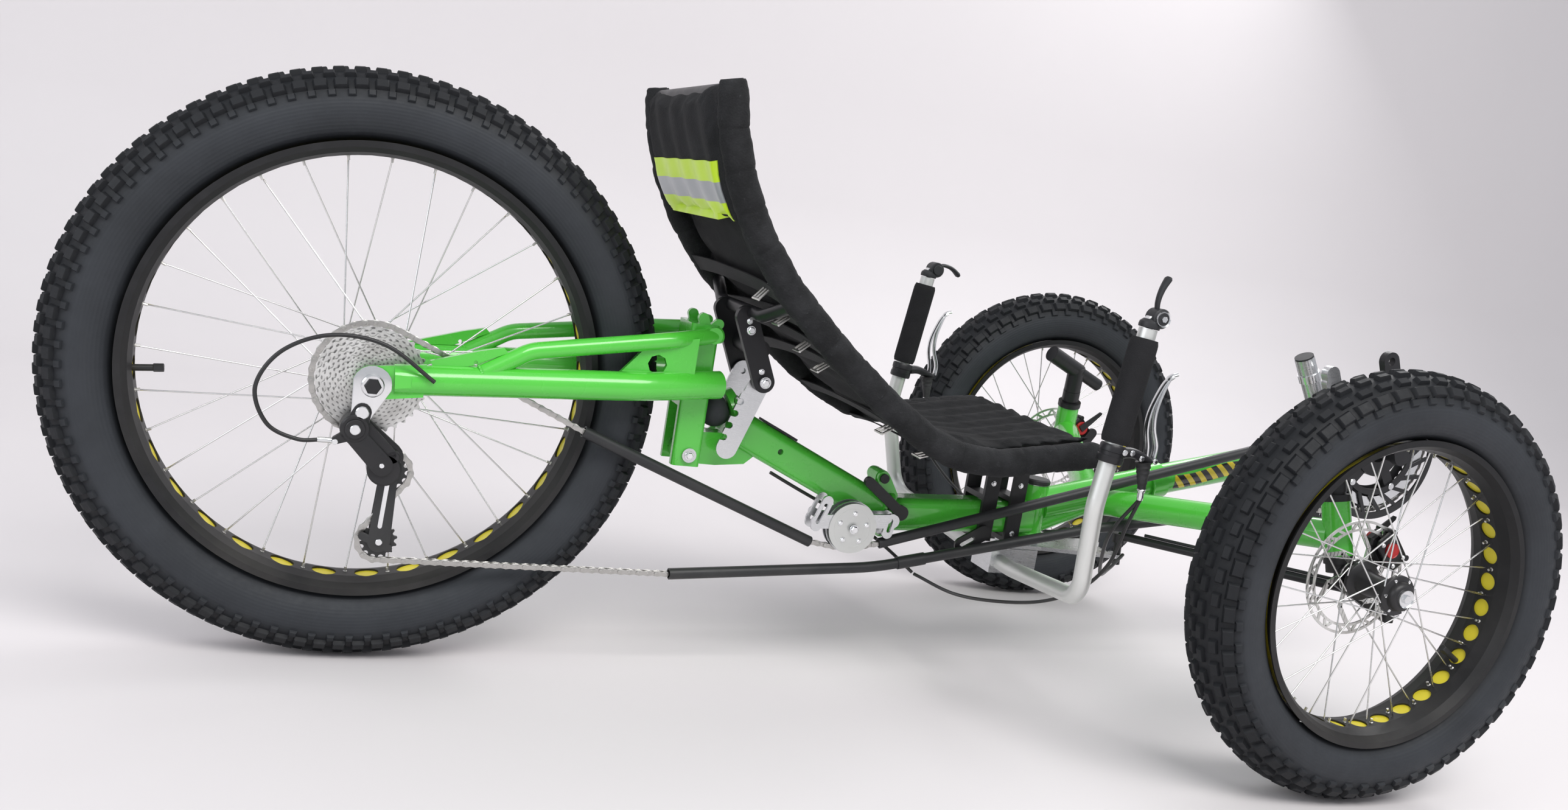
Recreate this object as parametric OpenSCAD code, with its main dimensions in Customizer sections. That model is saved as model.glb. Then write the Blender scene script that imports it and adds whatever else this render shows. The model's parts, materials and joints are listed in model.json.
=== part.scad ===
/* [Wheels] */
// Outside diameter of the rear tyre
rear_tyre_d = 744; // [720:1:760]
// Outside diameter of each front tyre
front_tyre_d = 584; // [570:1:596]
// Section width of the tyres
tyre_w = 100; // [86:1:102]
// Outside width of the rims
rim_w = 80; // [65:1:82]
// Thickness of a spoke
spoke_d = 2; // [1.8:0.1:2.3]
// Distance from the rear axle to the front axles
wheelbase = 1268; // [1266:1:1280]
// Distance between the front tyre centres
track = 864; // [860:1:900]

/* [Drivetrain] */
// Outside diameter of the chain guard ring
guard_d = 236; // [220:1:244]
// Length of a crank arm, axle to pedal hole
crank_len = 165; // [150:1:175]
// Diameter of the largest rear sprocket, over its roots
sprocket_d = 128; // [112:1:130]
// Outside diameter of the chain tubes
chain_tube_d = 15.5; // [14:0.5:17]
// Diameter of the idler side plates
idler_d = 76; // [70:1:78]
// Diameter of the derailleur pulleys
pulley_d = 42; // [36:1:44]

/* [Frame] */
// Side of the square main tube
main_w = 50; // [44:1:52]
// Diameter of the boom
boom_d = 48; // [42:1:50]
// Diameter of the cross tubes
cross_d = 42; // [36:1:43]
// Diameter of the lower swing arm tubes
swing_d = 38; // [32:1:39]
// Diameter of the upper swing arm tubes
brace_d = 22; // [18:1:24]

/* [Steering] */
// Diameter of the handlebar tube
bar_d = 24; // [20:0.5:25]
// Outside diameter of a hand grip
grip_d = 38; // [32:1:42]
// Diameter of a brake disc
disc_d = 160; // [140:1:162]
// Diameter of a track rod
rod_d = 13; // [10:0.5:14]

/* [Seat] */
// Width of the seat over its side rails
seat_w = 400; // [370:1:410]
// Diameter of the seat rails
rail_d = 25; // [22:0.5:28]

/* [Hidden] */
$fn = 48;
gap = 0.3;
rear_r = rear_tyre_d / 2;
front_r = front_tyre_d / 2;
guard_r = guard_d / 2;
bb_x = 1600;
bb_z = 422;
// the design works from the rear axle; the origin is midway along the trike
x0 = -((bb_x + guard_r) - rear_r) / 2;
rear_bead = 279.5;
front_bead = 203;
hub_y = track / 2;
chain_y = -64;
line_y = -46;
chain_w = 6.6;
chain_h = 8;
// steering axes: middle of each head tube and its lean
king = [wheelbase - 8, hub_y - 84.3, 349];
king_lean = 13;
king_rake = 8;
head_d = 38;
head_len = 74;
stem_d = 27.5;
pivot = [998, 0, 210];
plate_end = [pivot[0] + 146, 34, 206];
arm_end = [1366, hub_y - 66, 243.5];
// the rod's inner pin leans so that its outer end keeps the height of the arm
rod_lean = 4.2;
rod_z = 238;
rod_rise = 20;
idler = [674, line_y, 226];
low_jockey = [31, chain_y, 170];
top_jockey = [34, chain_y, 258];
fold = [742, 0, 240];

green = "limegreen";
silver = "silver";
black = "#202226";

// ---- helpers ----
function flip(p, s) = [p[0], p[1] * s, p[2]];

// stands children, drawn along +Z from the origin, on the line p to q
module along(p, q) {
    v = q - p;
    translate(p) rotate([0, acos(v[2] / norm(v)), atan2(v[1], v[0])]) children();
}
module rod(p, q, d) along(p, q) cylinder(d = d, h = norm(q - p));
// unit vectors and the bend at corner i of a path, bent to radius r
function unit(v) = v / norm(v);
function turn(pts, i) = acos(max(-1, min(1, unit(pts[i] - pts[i - 1]) * unit(pts[i + 1] - pts[i]))));
function cut(pts, i, r) = (i == 0 || i == len(pts) - 1) ? 0 : r * tan(turn(pts, i) / 2);
module ring_of(d, wall) difference() {
    circle(d = d);
    if (wall > 0) circle(d = d - 2 * wall);
}
// round tube through a list of points, with true bends
module bent(pts, d, r, wall = 0) {
    for (i = [0:len(pts) - 2]) {
        u = unit(pts[i + 1] - pts[i]);
        a = pts[i] + u * cut(pts, i, r);
        b = pts[i + 1] - u * cut(pts, i + 1, r);
        along(a, b) linear_extrude(norm(b - a)) ring_of(d, wall);
    }
    if (len(pts) > 2) for (i = [1:len(pts) - 2]) {
        u = unit(pts[i] - pts[i - 1]);
        v = unit(pts[i + 1] - pts[i]);
        w = unit(v - (v * u) * u);
        n = cross(u, w);
        c = pts[i] - u * cut(pts, i, r) + w * r;
        // the bend is a hair thinner and runs a little way into the straights
        e = 0.5 / r * 180 / PI;
        multmatrix([[-w[0], u[0], n[0], c[0]], [-w[1], u[1], n[1], c[1]], [-w[2], u[2], n[2], c[2]]])
            rotate(-e) rotate_extrude(angle = turn(pts, i) + 2 * e) translate([r, 0])
                ring_of(d - 0.06, wall > 0 ? wall - 0.06 : 0);
    }
}
module soft_square(a, b, r) {
    square([a - 2 * r, b], center = true);
    square([a, b - 2 * r], center = true);
    for (i = [-1, 1], j = [-1, 1]) translate([i * (a / 2 - r), j * (b / 2 - r)]) circle(r);
}
module box_tube(p, q, a, b, r) along(p, q) linear_extrude(norm(q - p)) soft_square(a, b, r);
module bar2(p, q, w) {
    v = q - p;
    translate(p) rotate(atan2(v[1], v[0])) translate([0, -w / 2])
        square([sqrt(v[0] * v[0] + v[1] * v[1]), w]);
    // the round ends stand a hair proud so that the outline is clean
    translate(p) circle(d = w + 0.04);
    translate(q) circle(d = w + 0.04);
}
// flat plate in the x z plane, from y = y0 outward by t
module side_plate(y0, t) translate([0, y0 + t, 0]) rotate([90, 0, 0]) linear_extrude(t) children();
module both() { children(); mirror([0, 1, 0]) children(); }
module at_rear() translate([x0, 0, 0]) children();
// children drawn about a wheel centre with the axle along +Y
module ring_y() rotate([-90, 0, 0]) rotate_extrude($fn = 96) children();

// ---- wheels ----
module tyre(r, bead) {
    m = r - tyre_w / 2;
    color(black) ring_y() difference() {
        translate([m, 0]) circle(d = tyre_w);
        translate([m, 0]) circle(d = tyre_w - 9);
        translate([bead - 40, -tyre_w]) square([40 + 4, 2 * tyre_w]);
    }
}
module rim(bead, holes) {
    r = bead + 5;
    color(black) difference() {
        ring_y() difference() {
            polygon([[bead - 13, -14], [bead - 9, -30], [bead - 3, -rim_w / 2], [r, -rim_w / 2],
                [r, -rim_w / 2 + 2.5], [bead - 0.5, -rim_w / 2 + 2.5], [bead - 3, -rim_w / 2 + 5],
                [bead - 6.5, -28], [bead - 10.5, -13], [bead - 10.5, 13], [bead - 6.5, 28],
                [bead - 3, rim_w / 2 - 5], [bead - 0.5, rim_w / 2 - 2.5],
                [r, rim_w / 2 - 2.5], [r, rim_w / 2], [bead - 3, rim_w / 2],
                [bead - 9, 30], [bead - 13, 14]]);
        }
        for (i = [0:holes - 1]) rotate([0, (i + 0.5) * 360 / holes, 0])
            translate([0, 0, bead - 30]) cylinder(d = bead > 240 ? 30 : 24, h = 60);
    }
}
// crossed spokes between two flanges and the rim
module spokes(fr, y1, y2, rr) {
    n = 32;
    color(silver) for (i = [0:n - 1]) {
        s = i % 2 == 0 ? 1 : -1;
        k = floor(i / 2) % 2 == 0 ? 1 : -1;
        a = i * 360 / n;
        b = a + k * 66;
        yf = (s > 0 ? y2 : y1) + k * 2.4;
        rod([fr * cos(b), yf, fr * sin(b)], [rr * cos(a), s * 4, rr * sin(a)], spoke_d);
    }
}
module rear_wheel_at() translate([x0, 0, rear_r]) children();
module rear_tyre() rear_wheel_at() tyre(rear_r, rear_bead);
module rear_rim() rear_wheel_at() rim(rear_bead, 32);
module rear_spokes() rear_wheel_at() spokes(33.4, -46, 62, rear_bead - 13.6);
module rear_hub() rear_wheel_at() color(black) {
    ring_y() polygon([[6.2, -95], [13, -95], [13, -50], [32, -50], [32, -42], [17, -38], [15, 0],
        [17, 54], [32, 58], [32, 66], [14, 68], [14, 95], [6.2, 95]]);
}
module rear_cog(d, y, t) translate([0, y, 0]) rotate([90, 0, 0])
    cylinder(d = d, h = t, center = true);
cog_n = 9;
module cassette() rear_wheel_at() color(silver) difference() {
    union() {
        for (i = [0:cog_n - 1])
            rear_cog(i == 0 ? sprocket_d : sprocket_d + 8 - i * 12.2, chain_y - i * 3.6, 1.8);
        rear_cog(36, chain_y - 15, 32);
    }
    rotate([90, 0, 0]) cylinder(d = 26.6, h = 300, center = true);
}
module left_at() translate([x0 + wheelbase, hub_y, front_r]) children();
module right_at() mirror([0, 1, 0]) left_at() children();
module front_hub() {
    color(black) ring_y() polygon([[10.3, -40], [21, -40], [21, -36], [27, -34], [27, -28],
        [18, -25], [17, 24], [27, 27], [27, 33], [20, 35], [19, 40], [14, 44], [0, 46],
        [0, 42], [10.3, 40]]);
    color(silver) translate([0, -45, 0]) rotate([-90, 0, 0]) difference() {
        cylinder(d = disc_d, h = 2);
        translate([0, 0, -1]) cylinder(d = 44, h = 4);
        for (i = [0:5]) rotate(i * 60) translate([disc_d * 0.25, 0, -1])
            linear_extrude(4) circle(d = disc_d * 0.18);
    }
    color(black) translate([0, -43, 0]) rotate([-90, 0, 0]) difference() {
        cylinder(d = 50, h = 3);
        translate([0, 0, -1]) cylinder(d = 20.6, h = 6);
    }
}
module left_tyre() left_at() tyre(front_r, front_bead);
module left_rim() left_at() rim(front_bead, 32);
module left_spokes() left_at() spokes(28.4, -31, 30, front_bead - 13.6);
module left_hub() left_at() front_hub();
module right_tyre() right_at() tyre(front_r, front_bead);
module right_rim() right_at() rim(front_bead, 32);
module right_spokes() right_at() spokes(28.4, -31, 30, front_bead - 13.6);
module right_hub() right_at() front_hub();

// ---- frame ----
module main_tube() at_rear() color(green) difference() {
    union() {
        box_tube([482, 0, 353], fold - [3, 0, -1], main_w, main_w, 13);
        // cross sleeve and web for the swing pivot
        translate([424, 0, 306]) rotate([90, 0, 0]) cylinder(d = 30, h = 40, center = true);
        side_plate(-14, 28) polygon([[424, 291], [424, 321], [446, 336], [490, 338], [540, 322],
            [512, 296], [470, 291]]);
        // cup for the elastomer
        along([482, 0, 366], [500, 0, 374]) cylinder(d = 64, h = 12);
        // hinge lugs
        along(fold - [8, 0, 0], fold - [3, 0, 0]) linear_extrude(4.6) soft_square(66, 58, 8);
        side_plate(-14, 28) bar2([729, 262], [729, 294], 22);
    }
    translate([424, 0, 306]) rotate([90, 0, 0]) cylinder(d = 12.4, h = 60, center = true);
    translate([729, 0, 294]) rotate([90, 0, 0]) cylinder(d = 8.4, h = 60, center = true);
    translate([560, 0, 320]) rotate([90, 0, 0]) cylinder(d = 8.4, h = 90, center = true);
    // hole for the notch pin, and a flat end with room for the front half's hinge ears
    translate([486, 0, 386]) rotate([90, 0, 0]) cylinder(d = 13, h = 90, center = true);
    translate([738.7, -40, 190]) cube([40, 80, 83]);
    for (s = [-1, 1]) translate([716, s * 17.5 - 3, 254]) cube([30, 6, 60]);
}
module head_axis(s) translate(flip(king, s)) rotate([s * king_lean, -king_rake, 0]) children();
module front_frame() at_rear() color(green) difference() {
    union() {
        along(fold + [1, 0, 0], fold + [5, 0, 0]) linear_extrude(6) soft_square(66, 58, 8);
        box_tube(fold + [5, 0, 0], [990, 0, 252], main_w, main_w, 13);
        translate([pivot[0], 0, 218]) cylinder(d = 42, h = 84);
        side_plate(-20, 5) bar2([746, 268], [729, 294], 20);
        side_plate(15, 5) bar2([746, 268], [729, 294], 20);
        rod([1010, 0, 271], [1212, 0, 324], boom_d);
        rod([1010, 0, 240], [1120, 0, 286], 30);
        for (s = [-1, 1]) {
            rod([1108, s * 14, 286], flip(king, s) - [0, s * 9, 12], cross_d);
            head_axis(s) translate([0, 0, -head_len / 2]) cylinder(d = head_d, h = head_len);
        }
        // boom clamp collar
        rod([1196, 0, 320], [1222, 0, 327], boom_d + 8);
    }
    for (s = [-1, 1]) head_axis(s)
        translate([0, 0, -head_len]) cylinder(d = stem_d + 2 * gap, h = 2 * head_len);
    translate([pivot[0], 0, 180]) cylinder(d = 24 + 2 * gap, h = 160);
    rod([1150, 0, 308], [1240, 0, 331.6], boom_d - 6);
    translate([729, 0, 294]) rotate([90, 0, 0]) cylinder(d = 8.4, h = 90, center = true);
}
boom_a = [1224, 0, 327.6];
boom_b = [bb_x, 0, bb_z];
module boom() at_rear() {
    color(green) difference() {
        union() {
            rod([1180, 0, 315.9], boom_a + [-2, 0, -0.5], boom_d - 6.4);
            rod(boom_a, boom_b, boom_d);
            translate(boom_b) rotate([90, 0, 0]) cylinder(d = 46, h = 68, center = true);
        }
        translate(boom_b) rotate([90, 0, 0]) cylinder(d = 36, h = 90, center = true);
    }
}
module fold_lever() at_rear() color(black) {
    side_plate(-38, 8) {
        bar2([758, 248], [700, 290], 15);
        translate([758, 248]) circle(d = 22);
    }
    translate([758, -25.4, 248]) rotate([90, 0, 0]) cylinder(d = 10, h = 8);
    translate([729, 22, 294]) rotate([90, 0, 0]) cylinder(d = 8, h = 46);
    for (y = [-24.4, 20.4]) translate([729, y + 4, 294]) rotate([90, 0, 0]) cylinder(d = 14, h = 4);
}
// one side of the swing arm, drawn on +y
module swing_side() {
    bent([[24, 93, 379], [330, 80, 400], [446, 50, 409]], swing_d, 160);
    bent([[126, 90, 396], [184, 87, 431], [372, 68, 464], [440, 38, 474]], brace_d, 60);
    side_plate(84, 8) difference() {
        polygon([[40, 398], [110, 404], [156, 426], [150, 432], [120, 424], [40, 398]]);
        translate([118, 410]) circle(d = 5);
    }
    side_plate(62, 8) difference() {
        polygon([[296, 404], [404, 412], [404, 470], [340, 458]]);
        translate([352, 430]) circle(d = 26, $fn = 8);
    }
}
module swing_arm() at_rear() {
    color(green) difference() {
        union() {
            swing_side();
            mirror([0, 1, 0]) swing_side();
            // post between the two sides
            translate([422, 0, 290]) linear_extrude(196) soft_square(40, 66, 6);
            rod([430, -52, 474], [430, 52, 474], brace_d);
            for (y = [-30, 22]) side_plate(y, 8) {
                bar2([424, 478], [418, 494], 14);
                bar2([430, 478], [440, 488], 14);
            }
        }
        // pocket that holds the elastomer
        translate([455, 0, 372]) rotate([0, 90, 0]) cylinder(d = 52, h = 40, center = true);
        // slot for the pivot sleeve
        translate([402, -20.4, 280]) cube([60, 40.8, 52]);
        translate([400, -20.4, 287]) cube([60, 40.8, 150 - 66]);
        translate([424, 0, 306]) rotate([90, 0, 0]) cylinder(d = 12.4, h = 90, center = true);
        for (s = [-1, 1]) translate([0, s * 93, 372]) rotate([90, 0, 0])
            cylinder(d = 40, h = 60, center = true);
        // flat that clears the sprockets
        translate([0, -94, 372]) rotate([-90, 0, 0]) cylinder(d = sprocket_d + 18, h = 44);
        for (s = [-1, 1]) translate([20, s * 100 - 40, 340]) cube([24, 30, 62]);
    }
    // dropouts and hanger
    color(silver) both() side_plate(96.6, 6) difference() {
        union() {
            translate([0, 372]) circle(d = 44);
            polygon([[-6, 352], [60, 362], [60, 402], [0, 394]]);
        }
        translate([0, 372]) circle(d = 12.6);
    }
    color(silver) side_plate(-102.6, 6) difference() {
        bar2([0, 358], [-8, 338], 18);
        translate([0, 372]) circle(d = 24);
    }
}
module swing_bolts() at_rear() color(silver) {
    translate([424, 0, 306]) rotate([90, 0, 0]) cylinder(d = 12, h = 74, center = true);
    for (s = [-1, 1]) translate([424, s * 35.4, 306]) rotate([90, 0, 0])
        cylinder(d = 20, h = 4.4, center = true);
    // rear axle with its nuts
    translate([0, 0, 372]) rotate([90, 0, 0]) cylinder(d = 12, h = 232, center = true);
    for (s = [-1, 1]) translate([0, s * 109.2, 372]) rotate([90, 0, 0])
        cylinder(d = 24, h = 12, center = true);
}
module elastomer() at_rear() color(black) difference() {
    translate([462, 0, 366]) sphere(d = 46);
    along([478.6, 0, 364.5], [500, 0, 374]) translate([0, 0, 0.4]) cylinder(d = 80, h = 30);
    translate([380, -40, 300]) cube([62.4, 80, 120]);
    box_tube([481, 0, 353.4], fold, main_w + 1, main_w + 1, 13);
}

// ---- seat ----
// centre line of a side rail in the x z plane
seat_line = [[362, 796], [372, 740], [392, 680], [424, 620], [476, 556], [556, 486], [640, 424],
    [700, 388], [752, 366], [820, 362], [900, 376], [975, 388]];
function sp(i, y) = [seat_line[i][0], y, seat_line[i][1]];
seat_n = len(seat_line);
rail_y = seat_w / 2 - rail_d / 2 - 9;
module side_rail(s, d, wall = 0)
    bent([for (i = [0, 2, 4, 6, 8, 9, 11]) sp(i, s * rail_y)], d, 120, wall);
// cross tubes at the head, the knees and under the pan, and the dropped one at the rear clamp
module cross_tubes(more) {
    for (p = [[364.5, 782], [958, 386], [820, 362]])
        rod([p[0], -rail_y, p[1]], [p[0], rail_y, p[1]], rail_d - 4 + more);
    bent([[494, -rail_y, 541], [478, -90, 512], [478, 90, 512], [494, rail_y, 541]], 18 + more, 40);
}
module seat_frame() at_rear() color(black) {
    for (s = [-1, 1]) side_rail(s, rail_d);
    cross_tubes(0);
}
// sheet that follows the rails, hollow where they run
function off(i, d) = let(
    a = seat_line[max(0, i - 1)], b = seat_line[min(seat_n - 1, i + 1)],
    l = sqrt(pow(b[0] - a[0], 2) + pow(b[1] - a[1], 2)))
    [seat_line[i][0] - d * (b[1] - a[1]) / l, seat_line[i][1] + d * (b[0] - a[0]) / l];
sleeve_d = rail_d + 14;
module seat_sling() at_rear() color(black) {
    half = rail_y - sleeve_d / 2 - 0.5;
    side_plate(-half, 2 * half) polygon(concat(
        [for (i = [0:seat_n - 1]) off(i, rail_d / 2 + 7)],
        [for (i = [seat_n - 1:-1:0]) off(i, rail_d / 2 - 1)]));
    // padded sleeves over the side rails
    for (s = [-1, 1]) difference() {
        side_rail(s, sleeve_d, sleeve_d / 2 - rail_d / 2 - gap);
        cross_tubes(1.4);
    }
}
module seat_clamp() at_rear() color(black) {
    for (s = [-1, 1]) side_plate(s * 50 - 5, 10) {
        bar2([508, 420], [470, 505], 30);
    }
    rod([500, -44.6, 462], [500, 44.6, 462], 26);
}
module comb() difference() {
    union() {
        bar2([508, 420], [474, 322], 30);
        bar2([496, 392], [474, 322], 30);
    }
    translate([508, 420]) circle(d = 8.4);
    for (i = [0:3]) bar2([470 - i * 5.5 + 14, 388 - i * 17], [452 - i * 5.5, 392 - i * 17], 9);
}
module recline_plates() at_rear() color(silver) {
    for (s = [-1, 1]) side_plate(s * 40 - 2, 4) comb();
    for (s = [-1, 1]) translate([508, s * 42, 420]) rotate([s * -90, 0, 0]) {
        cylinder(d = 8, h = 2.6);
        translate([0, 0, 14]) cylinder(d = 16, h = 5);
    }
    rod([486, -38, 386], [486, 38, 386], 12);
}
module seat_front_mount() at_rear() color(black) {
    for (x = [905, 952]) translate([x, 0, 0]) {
        for (s = [-1, 1]) side_plate(s * (main_w / 2 + 3.5) - 3, 6)
            polygon([[-12, 214], [12, 214], [12, 330], [-12, 330]]);
        side_plate(-26, 52) polygon([[-12, 276], [12, 276], [12, 284], [-12, 284]]);
        side_plate(-32, 64) polygon([[-12, 322], [12, 322], [12, 330], [-12, 330]]);
        side_plate(-26, 52) polygon([[-12, 214], [12, 214], [12, 221], [-12, 221]]);
    }
    rod([928, 0, 330], [928, 0, 340], 40);
    // slotted guide for the chain tube
    side_plate(-main_w / 2 - 11.6, 4.3) difference() {
        bar2([868, 206], [900, 226], 24);
        bar2([868, 206], [884, 216], 8);
    }
}

// ---- drivetrain ----
module idler_bracket() at_rear() color(silver) {
    for (s = [0, 1]) side_plate(line_y - 13 + s * 22, 4) difference() {
        union() {
            bar2([620, 232], [736, 240], 20);
            bar2([618, 226], [630, 262], 16);
            bar2([730, 222], [734, 243], 16);
        }
        translate([idler[0], idler[2]]) circle(d = 10.4);
        bar2([619, 232], [628, 256], 6);
        bar2([731, 226], [733, 241], 6);
    }
    translate([idler[0], idler[1] + 15, idler[2]]) rotate([90, 0, 0]) cylinder(d = 10, h = 34);
    for (x = [622, 734]) translate([x, -24.8, 240]) rotate([90, 0, 0]) cylinder(d = 12, h = 12);
}
module idler_wheel() at_rear() translate(idler) rotate([90, 0, 0]) {
    color(silver) difference() {
        union() {
            cylinder(d = idler_d - 16, h = 8, center = true);
            for (z = [-8.2, 5.2]) translate([0, 0, z]) cylinder(d = idler_d, h = 3);
        }
        cylinder(d = 10.6, h = 40, center = true);
    }
}
// chain seen from the side: centre line points joined by straight strips
ring_r = 104;
cog_r = sprocket_d / 2 + chain_h / 2 + gap;
idle_r = idler_d / 2 - 8 + chain_h / 2 + gap;
function pt(c, r, a) = [c[0] + r * cos(a), c[1] + r * sin(a)];
function heading(v) = atan2(v[1], v[0]);
// angle on circle c, r where a straight run to point p touches it
function tangent(c, r, p, s) = heading(p - c) + s * acos(r / norm(p - c));
// angle on circle a where a run leaves it to pass circle b on the other side
function crossing(a, ra, b, rb, s) = heading(b - a) - s * acos((ra + rb) / norm(b - a));
// ring sector between two angles
module arc_band(c, r, w, a0, a1) translate(c) intersection() {
    difference() { circle(r + w / 2, $fn = 96); circle(r - w / 2, $fn = 96); }
    polygon(concat([[0, 0]],
        [for (i = [0:8]) let(a = a0 + (a1 - a0) * i / 8) 3 * r * [cos(a), sin(a)]]));
}
cog_c = [0, rear_r];
ring_c = [bb_x, bb_z];
idl_c = [idler[0], idler[2]];
up_a = [269, 331];
up_b = [617, 199];
up_c = [725, 203];
up_d = [1356, 399];
lo_a = [412, 146];
lo_b = [725, 167];
lo_c = [1080, 248];
lo_d = [1360, 297];
low_c = [low_jockey[0], low_jockey[2]];
top_c = [top_jockey[0], top_jockey[2]];
jockey_r = pulley_d / 2 + chain_h / 2 + gap;
module chain() at_rear() color(silver) {
    // rear run, round the sprocket and through the two pulleys
    from_cog = crossing(cog_c, cog_r, top_c, jockey_r, 1);
    from_top = crossing(top_c, jockey_r, low_c, jockey_r, -1);
    up_out = tangent(cog_c, cog_r, up_a, 1);
    low_out = tangent(low_c, jockey_r, lo_a, -1);
    side_plate(chain_y - chain_w / 2, chain_w) {
        arc_band(cog_c, cog_r, chain_h, up_out, from_cog + 360);
        bar2(pt(cog_c, cog_r, up_out), up_a, chain_h);
        bar2(pt(cog_c, cog_r, from_cog), pt(top_c, jockey_r, from_cog + 180), chain_h);
        arc_band(top_c, jockey_r, chain_h, from_top, from_cog + 180);
        bar2(pt(top_c, jockey_r, from_top), pt(low_c, jockey_r, from_top + 180), chain_h);
        arc_band(low_c, jockey_r, chain_h, from_top + 180, low_out + 360);
        bar2(pt(low_c, jockey_r, low_out), lo_a, chain_h);
    }
    // under the idler
    idle_in = tangent(idl_c, idle_r, up_b, 1);
    idle_out = tangent(idl_c, idle_r, up_c, -1);
    side_plate(line_y - chain_w / 2, chain_w) {
        arc_band(idl_c, idle_r, chain_h, idle_in, idle_out);
        bar2(pt(idl_c, idle_r, idle_in), up_b, chain_h);
        bar2(pt(idl_c, idle_r, idle_out), up_c, chain_h);
    }
    // round the front ring
    ring_up = tangent(ring_c, ring_r, up_d, -1);
    ring_low = tangent(ring_c, ring_r, lo_d, 1);
    side_plate(line_y - 4 - chain_w / 2, chain_w) {
        arc_band(ring_c, ring_r, chain_h, ring_low, ring_up + 360);
        bar2(pt(ring_c, ring_r, ring_up), up_d, chain_h);
        bar2(pt(ring_c, ring_r, ring_low), lo_d, chain_h);
    }
}
function p3(p, y) = [p[0], y, p[1]];
function on_low(x) = lo_b[1] + (x - lo_b[0]) * (lo_c[1] - lo_b[1]) / (lo_c[0] - lo_b[0]);
tube_wall = min(2, (chain_tube_d - 11.5) / 2);
module chain_tubes() at_rear() color(black) {
    bent([p3(up_a, chain_y), p3(up_b, line_y)], chain_tube_d, 10, tube_wall);
    bent([p3(up_c, line_y), p3(up_d, line_y - 4)], chain_tube_d, 10, tube_wall);
    bent([p3(lo_a, chain_y), p3(lo_b, line_y), p3(lo_c, line_y), p3(lo_d, line_y - 4)],
        chain_tube_d, 400, tube_wall);
    // joining sleeve
    along([760, line_y, on_low(760)], [800, line_y, on_low(800)]) linear_extrude(44)
        ring_of(chain_tube_d + 3, 1.4);
}
module rear_derailleur() at_rear() color(black) {
    side_plate(-113, 10) bar2([-8, 338], [-14, 318], 24);
    side_plate(-112, 30) bar2([-14, 318], [16, 276], 22);
    side_plate(-84, 10) bar2([6, 292], [34, 258], 30);
    translate([-8, -102.8, 338]) rotate([90, 0, 0]) cylinder(d = 9, h = 4);
}
module derailleur_cage() at_rear() {
    color(silver) for (y = [chain_y - 7.6, chain_y + 5.2]) side_plate(y, 2.4) difference() {
        bar2([top_jockey[0], top_jockey[2]], [low_jockey[0], low_jockey[2]], 20);
        bar2([33.4, 236], [31.6, 192], 8);
    }
    color(black) for (p = [top_jockey, low_jockey]) translate([p[0], chain_y, p[2]]) rotate([90, 0, 0])
        cylinder(d = pulley_d, h = 5, center = true);
    color(silver) for (p = [top_jockey, low_jockey]) translate([p[0], chain_y, p[2]]) rotate([90, 0, 0])
        cylinder(d = 8, h = 18, center = true);
}
module front_derailleur() at_rear() {
    color(silver) for (y = [line_y - 4 - 7.4, line_y - 4 + 6.5]) side_plate(y, 2)
        intersection() {
            difference() {
                translate(ring_c) circle(ring_r + 17, $fn = 96);
                translate(ring_c) circle(ring_r - 13, $fn = 96);
            }
            polygon([[1440, 470], [1560, 440], [1575, 560], [1440, 560]]);
        }
    color(black) side_plate(line_y + 4.6, 14) bar2([1500, 512], [1488, 535], 26);
    color(silver) translate([1503, 0, 0]) side_plate(-40, 12) bar2([-15, 520], [-4, 500], 18);
}
post_a = [1530, 0, 440];
post_b = [1459, 0, 553];
module derailleur_post() at_rear() color(silver) {
    difference() {
        rod(post_a, post_b, 31.8);
        rod(post_a + [-8, 0, 13], post_b + [-8, 0, 13], 27);
        rod([1440, 0, 384.7], [1560, 0, 412.6], boom_d + 2 * gap);
    }
}
cable_d = 5;
// loop to the rear derailleur, and the run under the main tube
tail_loop = [[70, -114.6, 384], [10, -114, 422], [-52, -113, 427], [-104, -113, 402],
    [-128, -113, 358], [-112, -112, 316], [-78, -110, 293], [-40, -106, 284]];
tube_run = [[796, -29.5, 158], [752, -24, 190], [700, -12, 222], [600, -8, 266], [556, -8, 286]];
module frame_cables() at_rear() color(black) {
    bent(tail_loop, cable_d, 26);
    bent(tube_run, cable_d, 40);
}
// long loop from the right lever, and a brake cable from each lever to its track rod
lever_loop = [[951, -320, 358], [951, -304, 320], [960, -270, 256], [952, -226, 204], [924, -180, 170],
    [884, -125, 150], [842, -78, 144], [799, -31, 156]];
brake_run = [[922, 318, 402], [940, 286, 303], [1000, 200, 224], [1080, 110, 204], [1134, 66, 216]];
module bar_cables() at_rear() color(black) {
    bent(lever_loop, cable_d, 30);
    for (s = [-1, 1]) bent([for (q = brake_run) flip(q, s)], cable_d, 50);
}

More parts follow.
